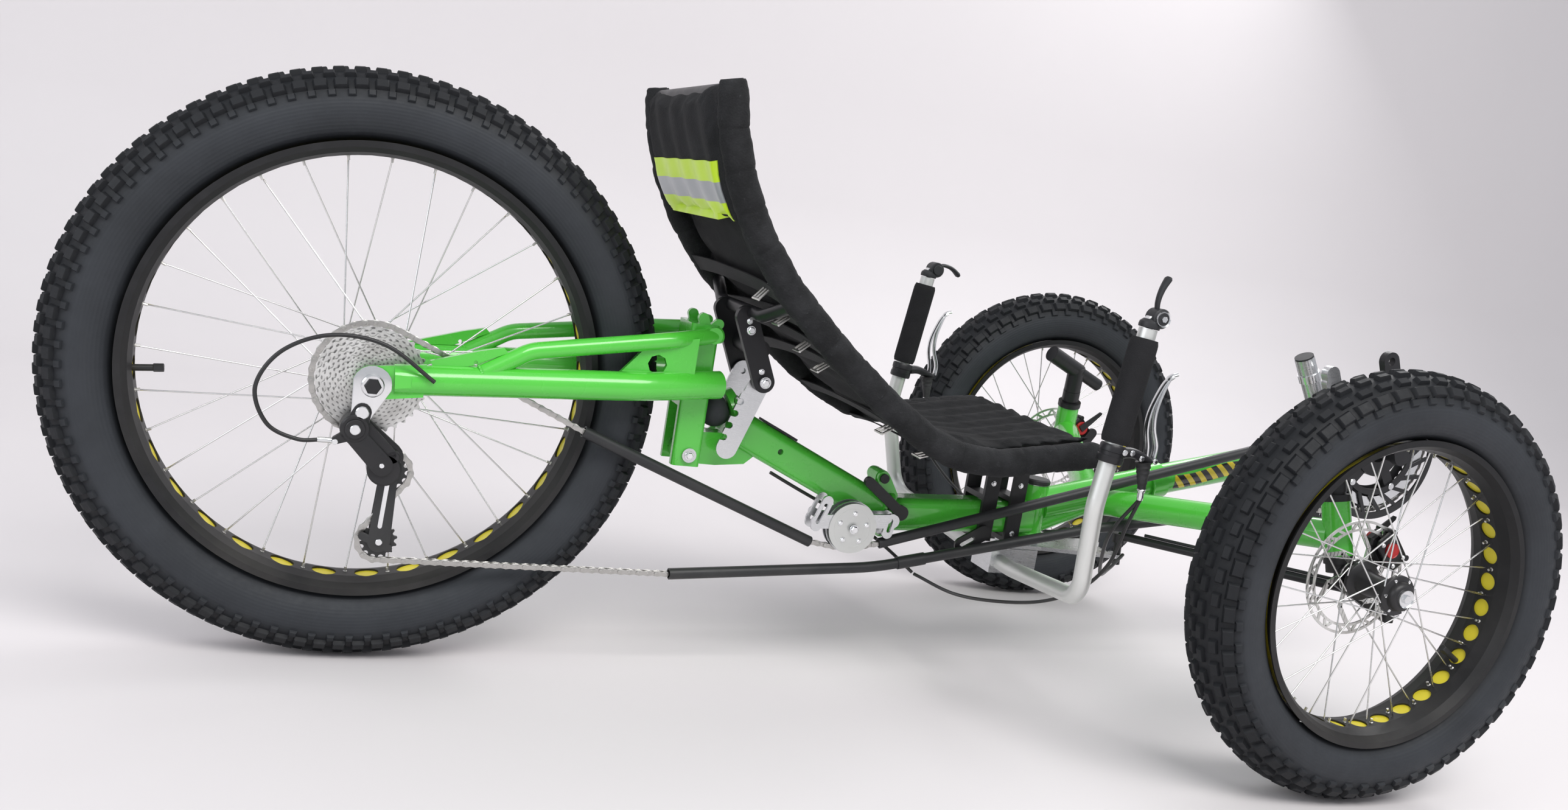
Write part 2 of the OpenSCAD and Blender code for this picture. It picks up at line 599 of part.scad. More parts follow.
// ---- cranks ----
crank_a = 114;
arm_y = 98;
arm_t = 12;
arm_tip = crank_len * [cos(crank_a), sin(crank_a)];
module chainrings() at_rear() translate([bb_x, 0, bb_z]) {
    color(black) difference() {
        translate([0, line_y - 12, 0]) rotate([90, 0, 0]) cylinder(d = guard_d, h = 4, $fn = 96);
        translate([0, 0, 0]) rotate([90, 0, 0]) cylinder(d = 130, h = 120);
    }
    color(black) translate([0, line_y - 3, 0]) rotate([90, 0, 0]) difference() {
        union() {
            cylinder(r = ring_r - chain_h / 2 - gap, h = 2, $fn = 96);
            translate([0, 0, -7]) cylinder(r = 84, h = 2, $fn = 96);
            translate([0, 0, 7]) cylinder(r = 74, h = 6, $fn = 96);
            translate([0, 0, -7]) cylinder(r = 44, h = 20);
        }
        for (i = [0:4]) rotate(i * 72) translate([60, 0, -20]) cylinder(d = 30, h = 60);
        translate([0, 0, -20]) cylinder(d = 40, h = 60);
    }
}
module crank_arm(s) {
    side_plate(s > 0 ? arm_y : -arm_y - arm_t, arm_t) difference() {
        bar2([0, 0], s * arm_tip * -1, 30);
        translate(s * arm_tip * -1) circle(d = 13);
    }
}
module crank_arms() at_rear() translate([bb_x, 0, bb_z]) color(black) {
    crank_arm(1);
    crank_arm(-1);
    rotate([90, 0, 0]) cylinder(d = 24, h = 2 * arm_y + arm_t, center = true);
    for (s = [-1, 1]) translate([0, s * 40.5, 0]) rotate([90, 0, 0])
        cylinder(d = s > 0 ? 44 : 38, h = s > 0 ? 12 : 8, center = true);
}

// ---- steering ----
module knuckle() {
    color(silver) {
        // stem through the head tube, with its top nut
        head_axis(1) {
            translate([0, 0, -60]) cylinder(d = stem_d, h = 128);
            translate([0, 0, head_len / 2 + gap]) cylinder(d = head_d + 3, h = 9);
            translate([0, 0, 50]) cylinder(d = 31, h = 18);
            translate([0, 0, -head_len / 2 - 11]) cylinder(d = head_d + 3, h = 10.7);
        }
    }
    color(black) {
        // axle block and stub axle
        translate([wheelbase, 0, front_r]) rotate([-90, 0, 0]) {
            translate([0, 0, hub_y - 66]) cylinder(d = 30, h = 18);
            translate([0, 0, hub_y - 66]) cylinder(d = 20, h = 104);
        }
        head_axis(1) translate([0, 0, -60]) cylinder(d = 36, h = 16);
        // steering arm with the seat of the rod end
        side_plate(hub_y - 74, 10) bar2([1266, 278], [arm_end[0], 230], 14);
        translate([arm_end[0], arm_end[1], 226]) cylinder(d = 18, h = arm_end[2] - 226);
        // caliper bracket
        side_plate(hub_y - 70, 6) {
            bar2([wheelbase, 284], [1306, 290], 18);
            bar2([1306, 290], [1334, 334], 18);
        }
    }
}
// caliper over the disc's upper front
caliper_a = 42;
module caliper() {
    c = [wheelbase + 62 * cos(caliper_a), 0, front_r + 62 * sin(caliper_a)];
    disc_y = hub_y - 45;
    color("firebrick") difference() {
        translate(c) rotate([0, -caliper_a, 0]) translate([-17, hub_y - 63.7, -26]) cube([34, 30.2, 52]);
        translate([wheelbase, disc_y - 2, front_r]) rotate([-90, 0, 0]) cylinder(d = disc_d + 6, h = 6);
        translate([wheelbase, disc_y + 3.9, front_r]) rotate([-90, 0, 0]) cylinder(d = 108, h = 40);
    }
    // arm that the cable pulls
    color(black) translate(c) rotate([0, -caliper_a, 0]) translate([2, hub_y - 70, 10]) {
        rotate([-90, 0, 0]) cylinder(d = 22, h = 6);
        translate([0, 0, -5]) cube([44, 6, 10]);
    }
}
module left_knuckle() at_rear() {
    knuckle();
    // stub bar for lamps and a mirror
    color(black) head_axis(1) {
        translate([0, 0, 68.3]) cylinder(d = 30, h = 46);
        translate([0, 0, 108]) rotate([0, 31, 0]) {
            translate([-68, 0, 0]) rotate([0, 90, 0]) cylinder(d = 29, h = 76);
            rotate([0, 90, 0]) cylinder(d = 22, h = 62);
        }
    }
}
module right_knuckle() at_rear() mirror([0, 1, 0]) knuckle();
module left_caliper() at_rear() caliper();
module right_caliper() at_rear() mirror([0, 1, 0]) caliper();

bar_side = [[944, 62, 181], [908, 292, 212], [884, 320, 346], [912, 318, 580]];
function on_bar(z) = bar_side[2]
    + (bar_side[3] - bar_side[2]) * (z - bar_side[2][2]) / (bar_side[3][2] - bar_side[2][2]);
module handlebar() at_rear() color(silver) {
    bent(concat([for (i = [len(bar_side) - 1:-1:0]) flip(bar_side[i], -1)], bar_side), bar_d, 48);
}
grip_a = on_bar(432);
grip_b = on_bar(566);
module grips() at_rear() color(black) both() along(grip_a, grip_b) difference() {
    cylinder(d = grip_d, h = norm(grip_b - grip_a));
    translate([0, 0, -1]) cylinder(d = bar_d + 2 * gap, h = 200);
}
module hand_controls() at_rear() both() {
    tip = bar_side[3];
    // end shifter: plug, pivot and thumb lever
    color(black) along(tip + unit(tip - grip_b) * gap, tip + unit(tip - grip_b)) cylinder(d = 28, h = 12);
    color(silver) translate(tip + [10, -10, 14]) rotate([-90, 0, 0]) cylinder(d = 22, h = 20);
    color(black) translate([0, tip[1], 0]) side_plate(-5, 10)
        bar2([tip[0] + 5, tip[2] + 22], [tip[0] + 13, tip[2] + 66], 11);
    // brake lever with its perch
    color(black) along(on_bar(404), on_bar(428)) difference() {
        cylinder(d = 36, h = 24);
        translate([0, 0, -1]) cylinder(d = bar_d + 2 * gap, h = 40);
    }
    color(black) side_plate(309, 20) {
        bar2([914, 414], [946, 408], 18);
        bar2([946, 408], [951, 382], 20);
    }
    color(silver) side_plate(314, 11) {
        bar2([958, 414], [942, 462], 12);
        bar2([942, 462], [950, 518], 10);
        bar2([950, 518], [956, 524], 10);
    }
    color(silver) rod([951, 320, 384], [951, 320, 361.3], 9);
}
// children on the leaning pin of the left track rod, at the rod's height
module on_pin() translate([plate_end[0], plate_end[1], rod_z]) rotate([0, -rod_lean, 0]) children();
module steering_plate() at_rear() {
    color(silver) difference() {
        translate([0, 0, 203]) linear_extrude(6) {
            polygon([[960, -26], [1012, -26], [1134, -45], [1134, 45], [1012, 26], [960, 26]]);
            for (s = [-1, 1]) translate([plate_end[0], s * plate_end[1]]) circle(d = 24);
        }
        both() on_pin() translate([0, 0, -50]) cylinder(d = 8.6, h = 60);
    }
    color(black) difference() {
        translate([926, -28, 164]) cube([80, 56, 38.7]);
        rod([bar_side[0][0], -60, bar_side[0][2]], [bar_side[0][0], 60, bar_side[0][2]], bar_d);
    }
    color(silver) translate([pivot[0], 0, 209]) cylinder(d = 24, h = 97);
    color(silver) translate([pivot[0], 0, 209]) cylinder(d = 40, h = 8.6);
    color(silver) translate([pivot[0], 0, 302.4]) cylinder(d = 40, h = 6);
}
module track_rod() {
    p = [plate_end[0], plate_end[1], rod_z];
    q = [arm_end[0], arm_end[1], rod_z + rod_rise];
    color(silver) on_pin() {
        translate([0, 0, -46]) cylinder(d = 8, h = 48);
        translate([0, 0, -46]) cylinder(d = 13, h = 9.9);
        translate([0, 0, -28.2]) cylinder(d = 12, h = 19.8);
    }
    color(black) {
        on_pin() translate([0, 0, -10]) cylinder(d = 20, h = 14);
        rod(p, q, rod_d);
        translate([q[0], q[1], arm_end[2] + 3]) cylinder(d = 18, h = 20);
        // brake cable tied along the rod
        lift = [0, 0, rod_d / 2 + cable_d / 2 + gap];
        rod(p + 0.1 * (q - p) + lift, p + 0.9 * (q - p) + lift, cable_d);
    }
}
module left_track_rod() at_rear() track_rod();
module right_track_rod() at_rear() mirror([0, 1, 0]) track_rod();

main_tube();
front_frame();
boom();
fold_lever();
swing_arm();
swing_bolts();
elastomer();
seat_frame();
seat_sling();
seat_clamp();
recline_plates();
seat_front_mount();
idler_bracket();
idler_wheel();
chain();
chain_tubes();
rear_derailleur();
derailleur_cage();
front_derailleur();
derailleur_post();
frame_cables();
bar_cables();
rear_tyre();
rear_rim();
rear_spokes();
rear_hub();
cassette();
left_tyre();
left_rim();
left_spokes();
left_hub();
right_tyre();
right_rim();
right_spokes();
right_hub();
left_knuckle();
right_knuckle();
left_caliper();
right_caliper();
handlebar();
grips();
hand_controls();
steering_plate();
left_track_rod();
right_track_rod();
chainrings();
crank_arms();
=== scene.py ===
import bpy, bmesh, json, math
from mathutils import Vector, Matrix, Euler, noise


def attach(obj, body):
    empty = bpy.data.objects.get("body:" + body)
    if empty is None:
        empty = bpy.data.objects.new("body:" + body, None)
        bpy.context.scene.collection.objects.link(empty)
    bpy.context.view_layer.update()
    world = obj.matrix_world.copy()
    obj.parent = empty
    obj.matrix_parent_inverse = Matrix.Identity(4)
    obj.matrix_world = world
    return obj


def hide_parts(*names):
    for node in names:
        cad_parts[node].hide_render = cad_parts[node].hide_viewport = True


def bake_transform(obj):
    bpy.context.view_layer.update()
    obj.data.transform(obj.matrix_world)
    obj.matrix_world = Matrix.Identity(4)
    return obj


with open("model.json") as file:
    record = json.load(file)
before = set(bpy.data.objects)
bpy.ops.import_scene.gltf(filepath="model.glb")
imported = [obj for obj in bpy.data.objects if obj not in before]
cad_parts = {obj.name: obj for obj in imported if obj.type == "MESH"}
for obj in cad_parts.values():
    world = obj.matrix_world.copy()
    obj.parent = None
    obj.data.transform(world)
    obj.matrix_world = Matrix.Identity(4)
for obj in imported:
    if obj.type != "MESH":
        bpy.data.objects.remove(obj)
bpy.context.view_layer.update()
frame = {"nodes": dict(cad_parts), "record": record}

record = frame["record"]
nodes = frame["nodes"]
print("frame loaded:", len(nodes), "nodes")


# shader helpers
class Wire:
    # wraps a socket so that shader maths reads as plain expressions
    def __init__(self, tree, socket):
        self.tree, self.socket = tree, socket

    def maths(self, operation, other=None, swap=False, clamp=False):
        n = self.tree.nodes.new("ShaderNodeMath")
        n.operation = operation
        n.use_clamp = clamp
        pair = [self, other] if not swap else [other, self]
        for i, v in enumerate(pair):
            if v is None:
                continue
            if isinstance(v, Wire):
                self.tree.links.new(v.socket, n.inputs[i])
            else:
                n.inputs[i].default_value = v
        return Wire(self.tree, n.outputs[0])

    def __add__(self, o): return self.maths("ADD", o)
    def __radd__(self, o): return self.maths("ADD", o)
    def __sub__(self, o): return self.maths("SUBTRACT", o)
    def __rsub__(self, o): return self.maths("SUBTRACT", o, swap=True)
    def __mul__(self, o): return self.maths("MULTIPLY", o)
    def __rmul__(self, o): return self.maths("MULTIPLY", o)
    def __truediv__(self, o): return self.maths("DIVIDE", o)
    def __pow__(self, o): return self.maths("POWER", o)
    def sin(self): return self.maths("SINE")
    def abs(self): return self.maths("ABSOLUTE")
    def clamp(self): return self.maths("ADD", 0.0, clamp=True)


class Finish:
    # a material with one Principled shader; add() makes any other node
    def __init__(self, name, **fixed):
        self.material = bpy.data.materials.new(name)
        self.material.use_nodes = True
        self.tree = self.material.node_tree
        self.tree.nodes.clear()
        self.out = self.tree.nodes.new("ShaderNodeOutputMaterial")
        self.shader = self.tree.nodes.new("ShaderNodeBsdfPrincipled")
        self.tree.links.new(self.shader.outputs[0], self.out.inputs[0])
        self.set(**fixed)

    def put(self, socket, value):
        if isinstance(value, Wire):
            self.tree.links.new(value.socket, socket)
        else:
            socket.default_value = value

    def set(self, **values):
        for key, value in values.items():
            name = {"colour": "Base Color", "rough": "Roughness", "metal": "Metallic",
                    "coat": "Coat Weight", "coatRough": "Coat Roughness", "normal": "Normal",
                    "alpha": "Alpha", "specular": "Specular IOR Level", "sheen": "Sheen Weight",
                    "sheenRough": "Sheen Roughness", "glow": "Emission Color"}[key]
            if key == "colour" and not isinstance(value, Wire):
                value = (*value, 1.0)
            self.put(self.shader.inputs[name], value)
        return self

    def add(self, kind, settings=None, inputs=None, out=0):
        n = self.tree.nodes.new(kind)
        for key, value in (settings or {}).items():
            if key == "stops":
                ramp = n.color_ramp
                while len(ramp.elements) > 1:
                    ramp.elements.remove(ramp.elements[-1])
                for i, (at, colour) in enumerate(value):
                    e = ramp.elements[0] if i == 0 else ramp.elements.new(at)
                    e.position = at
                    e.color = colour if len(colour) == 4 else (*colour, 1.0)
            else:
                setattr(n, key, value)
        for key, value in (inputs or {}).items():
            self.put(n.inputs[key], value)
        return Wire(self.tree, n.outputs[out])

    def place(self):
        return self.add("ShaderNodeTexCoord", out="Object")

    def axes(self, where=None):
        sep = self.tree.nodes.new("ShaderNodeSeparateXYZ")
        self.tree.links.new((where or self.place()).socket, sep.inputs[0])
        return [Wire(self.tree, s) for s in sep.outputs]

    def grain(self, scale, detail=3.0, rough=0.55, where=None, stretch=None):
        where = where or self.place()
        if stretch:
            where = self.add("ShaderNodeMapping", inputs={"Vector": where, "Scale": stretch})
        return self.add("ShaderNodeTexNoise", inputs={
            "Vector": where, "Scale": scale, "Detail": detail, "Roughness": rough}, out=0)

    def blend(self, factor, a, b):
        n = self.tree.nodes.new("ShaderNodeMix")
        n.data_type = "RGBA"
        self.put(n.inputs["Factor"], factor)
        for i, v in ((6, a), (7, b)):
            self.put(n.inputs[i], v if isinstance(v, Wire) else (*v, 1.0))
        return Wire(self.tree, n.outputs[2])

    def bump(self, height, strength=0.2, distance=0.001, under=None):
        n = self.tree.nodes.new("ShaderNodeBump")
        self.put(n.inputs["Height"], height)
        n.inputs["Strength"].default_value = strength
        n.inputs["Distance"].default_value = distance
        if under is not None:
            self.put(n.inputs["Normal"], under)
        return Wire(self.tree, n.outputs[0])


# finishes
paint = {"light": (0.095, 0.62, 0.055), "deep": (0.06, 0.47, 0.035), "peel": 0.05}


def roadDust(f, base, tone=(0.30, 0.28, 0.25), top=0.42, most=0.09):
    # thin road dust that gathers low down on the machine
    x, y, z = f.axes()
    low = ((top - z) / top).clamp()
    patch = f.grain(9.0, 5.0)
    return f.blend((low * (patch - 0.35).clamp() * most * 3.0).clamp(), base, tone)


def makeGreenPaint():
    f = Finish("greenPaint", coat=0.7, coatRough=0.06)
    cloud = f.grain(3.5, 3.0)
    base = f.blend(cloud, paint["deep"], paint["light"])
    f.set(colour=roadDust(f, base), rough=0.22 + 0.12 * f.grain(26.0, 4.0),
          normal=f.bump(f.grain(240.0, 2.0), paint["peel"], 0.0006))
    return f.material


def makeBlackMetal(name="blackMetal", tone=(0.012, 0.012, 0.014), rough=0.32):
    f = Finish(name, coat=0.12, coatRough=0.25, specular=0.35)
    wear = f.grain(34.0, 6.0)
    f.set(colour=roadDust(f, f.blend((wear - 0.5).clamp() * 0.6, tone, (0.05, 0.05, 0.055))),
          rough=rough + 0.22 * wear, normal=f.bump(f.grain(420.0, 2.0), 0.06, 0.0005))
    return f.material


def makeSteel(name="brushedSteel", tone=(0.66, 0.67, 0.68), rough=0.2, stretch=(9.0, 9.0, 190.0)):
    f = Finish(name, metal=1.0)
    lines = f.grain(10.0, 4.0, stretch=stretch)
    stain = f.grain(18.0, 5.0)
    f.set(colour=f.blend((stain - 0.4).clamp() * 0.8, tone, tuple(c * 0.66 for c in tone)),
          rough=rough + 0.18 * lines, normal=f.bump(lines, 0.08, 0.0004))
    return f.material


def makeSatinAlloy():
    f = Finish("satinAlloy", metal=0.75)
    grit = f.grain(520.0, 2.0)
    f.set(colour=f.blend(f.grain(7.0, 4.0), (0.62, 0.63, 0.61), (0.78, 0.79, 0.77)),
          rough=0.36 + 0.14 * f.grain(30.0, 4.0), normal=f.bump(grit, 0.05, 0.0005))
    return f.material


def makeRubber(name="tyreRubber", tone=(0.028, 0.031, 0.036), rough=0.62):
    f = Finish(name)
    scuff = f.grain(42.0, 6.0)
    base = f.blend((scuff - 0.45).clamp() * 1.4, tone, (0.07, 0.072, 0.076))
    f.set(colour=base, rough=rough + 0.25 * f.grain(16.0, 4.0),
          normal=f.bump(f.grain(300.0, 3.0), 0.18, 0.0008))
    return f.material


def makePlastic(name="blackPlastic", tone=(0.014, 0.015, 0.017), rough=0.38):
    f = Finish(name)
    pits = f.grain(900.0, 2.0)
    f.set(colour=roadDust(f, f.blend((f.grain(22.0, 5.0) - 0.4).clamp() * 0.6, tone, (0.045, 0.046, 0.05))),
          rough=rough + 0.2 * f.grain(40.0, 4.0), normal=f.bump(pits, 0.12, 0.0004))
    return f.material


finishes = {
    "frame_green": makeGreenPaint(), "black_metal": makeBlackMetal(), "steel": makeSteel(),
    "rubber": makeRubber("softRubber"), "mesh": makePlastic("clothStandIn"),
    "chain": makeSteel("chainSteel", (0.5, 0.49, 0.47), 0.26), "black_plastic": makePlastic(),
    "tyre": makeRubber(), "rim": makeBlackMetal("rimBlack", (0.006, 0.006, 0.007), 0.5),
    "spoke": makeSteel("spokeSteel", (0.8, 0.8, 0.8), 0.16),
    "red": makeBlackMetal("redAnodised", (0.42, 0.012, 0.012), 0.25), "bar": makeSatinAlloy(),
    "foam": makeRubber("foamGrip", (0.02, 0.02, 0.022), 0.8)}
slotOf = {s["node"]: s["material_slot"] for s in record["subparts"]}
for name, obj in nodes.items():
    for i in range(len(obj.material_slots)):
        obj.material_slots[i].material = finishes[slotOf[name]]
print("finishes made:", len(finishes))

# mesh helpers
def makePiece(name, verts, faces, material, smooth=True):
    mesh = bpy.data.meshes.new(name)
    mesh.from_pydata([tuple(v) for v in verts], [], faces)
    mesh.materials.append(material)
    obj = bpy.data.objects.new(name, mesh)
    bpy.context.scene.collection.objects.link(obj)
    return tidyFaces(obj, smooth)


def tidyFaces(obj, smooth=True, sharp=32.0):
    bm = bmesh.new()
    bm.from_mesh(obj.data)
    bmesh.ops.recalc_face_normals(bm, faces=bm.faces)
    for e in bm.edges:
        e.smooth = not (len(e.link_faces) == 2 and e.calc_face_angle(0.0) > math.radians(sharp))
    for f in bm.faces:
        f.smooth = smooth
    bm.to_mesh(obj.data)
    bm.free()
    return obj


def lathe(name, profile, centre, material, steps=96):
    # closed profile of (radius, y) pairs turned about the Y axis
    n = len(profile)
    verts = [(centre[0] + r * math.cos(a), centre[1] + y, centre[2] + r * math.sin(a))
             for a in (2 * math.pi * i / steps for i in range(steps)) for r, y in profile]
    faces = [(i * n + j, i * n + (j + 1) % n, (i + 1) % steps * n + (j + 1) % n, (i + 1) % steps * n + j)
             for i in range(steps) for j in range(n)]
    return makePiece(name, verts, faces, material)


def sweep(name, path, outline, material, side=Vector((0, 1, 0)), size=None):
    # outline points (a, b) carried along a path, closed at both ends
    n, verts, faces = len(outline), [], []
    for i, p in enumerate(path):
        ahead = (path[min(i + 1, len(path) - 1)] - path[max(i - 1, 0)]).normalized()
        u = (side - ahead * side.dot(ahead)).normalized()
        v = ahead.cross(u)
        k = size(i) if size else 1.0
        verts += [p + u * a * k + v * b * k for a, b in outline]
    for i in range(len(path) - 1):
        faces += [(i * n + j, i * n + (j + 1) % n, (i + 1) * n + (j + 1) % n, (i + 1) * n + j)
                  for j in range(n)]
    faces += [tuple(range(n)), tuple(reversed(range(len(verts) - n, len(verts))))]
    return makePiece(name, verts, faces, material)


def circle(r, n=12):
    return [(r * math.cos(2 * math.pi * i / n), r * math.sin(2 * math.pi * i / n)) for i in range(n)]


def smoothPath(points, steps=8):
    pts = [Vector(p) for p in points]
    pts = [2 * pts[0] - pts[1]] + pts + [2 * pts[-1] - pts[-2]]
    path = []
    for a, b, c, d in zip(pts, pts[1:], pts[2:], pts[3:]):
        for i in range(steps):
            t = i / steps
            path.append(0.5 * (2 * b + (c - a) * t + (2 * a - 5 * b + 4 * c - d) * t * t
                               + (3 * b - a - 3 * c + d) * t ** 3))
    return path + [pts[-2]]


def plate(outline, thick, cut=0.12):
    # flat plate in the XZ plane with eased edges, middle at y = 0
    n = len(outline)
    mid = Vector((sum(p[0] for p in outline) / n, 0, sum(p[1] for p in outline) / n))
    verts = []
    for y, k in ((-thick / 2, 1 - cut), (-thick * 0.3, 1), (thick * 0.3, 1), (thick / 2, 1 - cut)):
        verts += [mid + (Vector((x, 0, z)) - mid) * k + Vector((0, y, 0)) for x, z in outline]
    faces = [(j * n + i, j * n + (i + 1) % n, (j + 1) * n + (i + 1) % n, (j + 1) * n + i)
             for j in range(3) for i in range(n)]
    return verts, faces + [tuple(range(n)), tuple(range(3 * n, 4 * n))]


def joined(parts):
    verts, faces = [], []
    for v, f in parts:
        faces += [tuple(i + len(verts) for i in face) for face in f]
        verts += [Vector(p) for p in v]
    return verts, faces


def placed(part, place=(0, 0, 0), turn=(0, 0, 0), size=(1, 1, 1)):
    m = Matrix.LocRotScale(Vector(place), Euler(turn), Vector(size))
    return [m @ Vector(p) for p in part[0]], part[1]


def drum(r, y0, y1, n=12, ease=0.12):
    # short round bar along Y with eased ends
    e = min(ease * r, 0.3 * abs(y1 - y0))
    rows = [(r - e, y0), (r, y0 + e), (r, y1 - e), (r - e, y1)]
    verts = [(a * math.cos(2 * math.pi * i / n), y, a * math.sin(2 * math.pi * i / n))
             for a, y in rows for i in range(n)]
    faces = [(j * n + i, j * n + (i + 1) % n, (j + 1) * n + (i + 1) % n, (j + 1) * n + i)
             for j in range(3) for i in range(n)]
    return verts, faces + [tuple(range(n)), tuple(range(3 * n, 4 * n))]


def makeScatter():
    # places the piece at every point of the input mesh, turned and sized by its attributes
    tree = bpy.data.node_groups.new("scatterPieces", "GeometryNodeTree")
    face = tree.interface
    face.new_socket("Points", in_out="INPUT", socket_type="NodeSocketGeometry")
    face.new_socket("Piece", in_out="INPUT", socket_type="NodeSocketObject")
    face.new_socket("Finish", in_out="INPUT", socket_type="NodeSocketMaterial")
    face.new_socket("Size Spread", in_out="INPUT", socket_type="NodeSocketFloat")
    face.new_socket("Seed", in_out="INPUT", socket_type="NodeSocketInt")
    face.new_socket("Geometry", in_out="OUTPUT", socket_type="NodeSocketGeometry")

    def add(kind, settings=None, inputs=None):
        n = tree.nodes.new(kind)
        for k, v in (settings or {}).items():
            setattr(n, k, v)
        for k, v in (inputs or {}).items():
            if hasattr(v, "is_output"):
                tree.links.new(v, n.inputs[k])
            else:
                n.inputs[k].default_value = v
        return n

    given = add("NodeGroupInput").outputs
    piece = add("GeometryNodeObjectInfo", inputs={"Object": given["Piece"]})
    turn = add("GeometryNodeInputNamedAttribute", {"data_type": "FLOAT_VECTOR"}, {"Name": "turn"})
    size = add("GeometryNodeInputNamedAttribute", {"data_type": "FLOAT"}, {"Name": "size"})
    spread = add("FunctionNodeRandomValue", {"data_type": "FLOAT"}, {2: -1.0, 3: 1.0, "Seed": given["Seed"]})
    wobble = add("ShaderNodeMath", {"operation": "MULTIPLY_ADD"},
                 {0: spread.outputs[1], 1: given["Size Spread"], 2: size.outputs[0]})
    spots = add("GeometryNodeInstanceOnPoints", inputs={
        "Points": given["Points"], "Instance": piece.outputs["Geometry"],
        "Rotation": turn.outputs[0], "Scale": wobble.outputs[0]})
    real = add("GeometryNodeRealizeInstances", inputs={"Geometry": spots.outputs[0]})
    done = add("GeometryNodeSetMaterial", inputs={"Geometry": real.outputs[0], "Material": given["Finish"]})
    add("NodeGroupOutput", inputs={"Geometry": done.outputs[0]})
    return tree


scatterTree = makeScatter()


def repeat(name, part, spots, material, smooth=True, spread=0.0, seed=7):
    # spots are (place, turn) or (place, turn, size); the result is one plain mesh
    piece = makePiece(name + "Part", part[0], part[1], material, smooth)
    mesh = bpy.data.meshes.new(name)
    mesh.from_pydata([tuple(s[0]) for s in spots], [], [])
    mesh.attributes.new("turn", "FLOAT_VECTOR", "POINT").data.foreach_set(
        "vector", [c for s in spots for c in s[1]])
    mesh.attributes.new("size", "FLOAT", "POINT").data.foreach_set(
        "value", [s[2] if len(s) > 2 else 1.0 for s in spots])
    obj = bpy.data.objects.new(name, mesh)
    bpy.context.scene.collection.objects.link(obj)
    modifier = obj.modifiers.new("scatter", "NODES")
    modifier.node_group = scatterTree
    sockets = {s.name: s.identifier for s in scatterTree.interface.items_tree if s.in_out == "INPUT"}
    for key, value in (("Piece", piece), ("Finish", material), ("Size Spread", spread), ("Seed", seed)):
        modifier[sockets[key]] = value
    bpy.context.view_layer.update()
    ready = obj.evaluated_get(bpy.context.evaluated_depsgraph_get())
    obj.data = bpy.data.meshes.new_from_object(ready)
    obj.modifiers.clear()
    bpy.data.objects.remove(piece)
    return obj


def around(count, place, phase=0.0, step=None):
    return [(place, (0.0, phase + (step or 2 * math.pi / count) * i, 0.0)) for i in range(count)]


# wheels
wheels = {
    "rear_wheel": {"tag": "rear", "centre": (-0.673, 0.0, 0.372), "mid": 0.322, "bead": 0.2795,
                   "pitches": 94, "spin": 0.0},
    "left_wheel": {"tag": "left", "centre": (0.595, 0.432, 0.292), "mid": 0.242, "bead": 0.203,
                   "pitches": 58, "spin": 0.4},
    "right_wheel": {"tag": "right", "centre": (0.595, -0.432, 0.292), "mid": 0.242, "bead": 0.203,
                    "pitches": 58, "spin": 0.9}}
tread = {"wall": 0.0444, "half": 0.0480, "thick": 0.0035, "knob": 0.0055,
         "rows": ((0.15, 0.0, 0.0150, 0.0082), (0.52, 0.5, 0.0140, 0.0095), (0.90, 0.0, 0.0165, 0.0130)),
         "shoulder": (1.17, 0.5, 0.0095, 0.0080)}


def makeTyreRubber(name, wheel):
    f = Finish(name, specular=0.32)
    x, y, z = f.axes()
    cx, cy, cz = wheel["centre"]
    r = ((x - cx) ** 2.0 + (z - cz) ** 2.0) ** 0.5
    inner, outer = wheel["bead"] + 0.006, wheel["mid"] + 0.024
    band = ((r - inner) * 90.0).clamp() * ((outer - r) * 60.0).clamp()
    cloud = f.grain(11.0, 6.0)
    grit = f.grain(120.0, 5.0)
    dust = (band * (0.45 + 0.8 * (cloud - 0.25)) + (grit - 0.62).clamp() * 1.2).clamp()
    base = f.blend((cloud - 0.3).clamp() * 0.8, (0.0075, 0.0085, 0.0105), (0.014, 0.016, 0.0195))
    f.set(colour=f.blend(dust * 0.55, base, (0.060, 0.067, 0.078)), rough=0.46 + 0.3 * grit,
          normal=f.bump((r * 1500.0).sin() * band * 0.5 + f.grain(420.0, 3.0) * 0.8, 0.22, 0.0006))
    return f.material


def makeStrip():
    f = Finish("rimStrip", coat=0.15)
    weave = f.grain(700.0, 2.0, stretch=(1.0, 1.0, 1.0))
    f.set(colour=f.blend(f.grain(14.0, 4.0), (0.62, 0.52, 0.02), (0.78, 0.66, 0.035)),
          rough=0.45 + 0.2 * f.grain(60.0, 3.0), normal=f.bump(weave, 0.15, 0.0004))
    return f.material


finishes["strip"] = makeStrip()
finishes["brass"] = makeSteel("nippleBrass", (0.72, 0.71, 0.68), 0.22, (1.0, 1.0, 1.0))


def knobPart(length, width, height, lean=0.82):
    # one tread block, its base on z = 0, slightly tapered and with a chamfered top
    verts, faces = [], []
    for k, (z, s) in enumerate(((-0.0012, 1.08), (0.0, 1.0), (height * 0.78, lean + 0.06),
                                (height, lean - 0.06))):
        verts += [(a * length / 2 * s, b * width / 2 * s, z) for a, b in ((-1, -1), (1, -1), (1, 1), (-1, 1))]
    for k in range(3):
        faces += [(4 * k + i, 4 * k + (i + 1) % 4, 4 * k + 4 + (i + 1) % 4, 4 * k + 4 + i) for i in range(4)]
    return verts, faces + [(0, 1, 2, 3), (12, 13, 14, 15)]


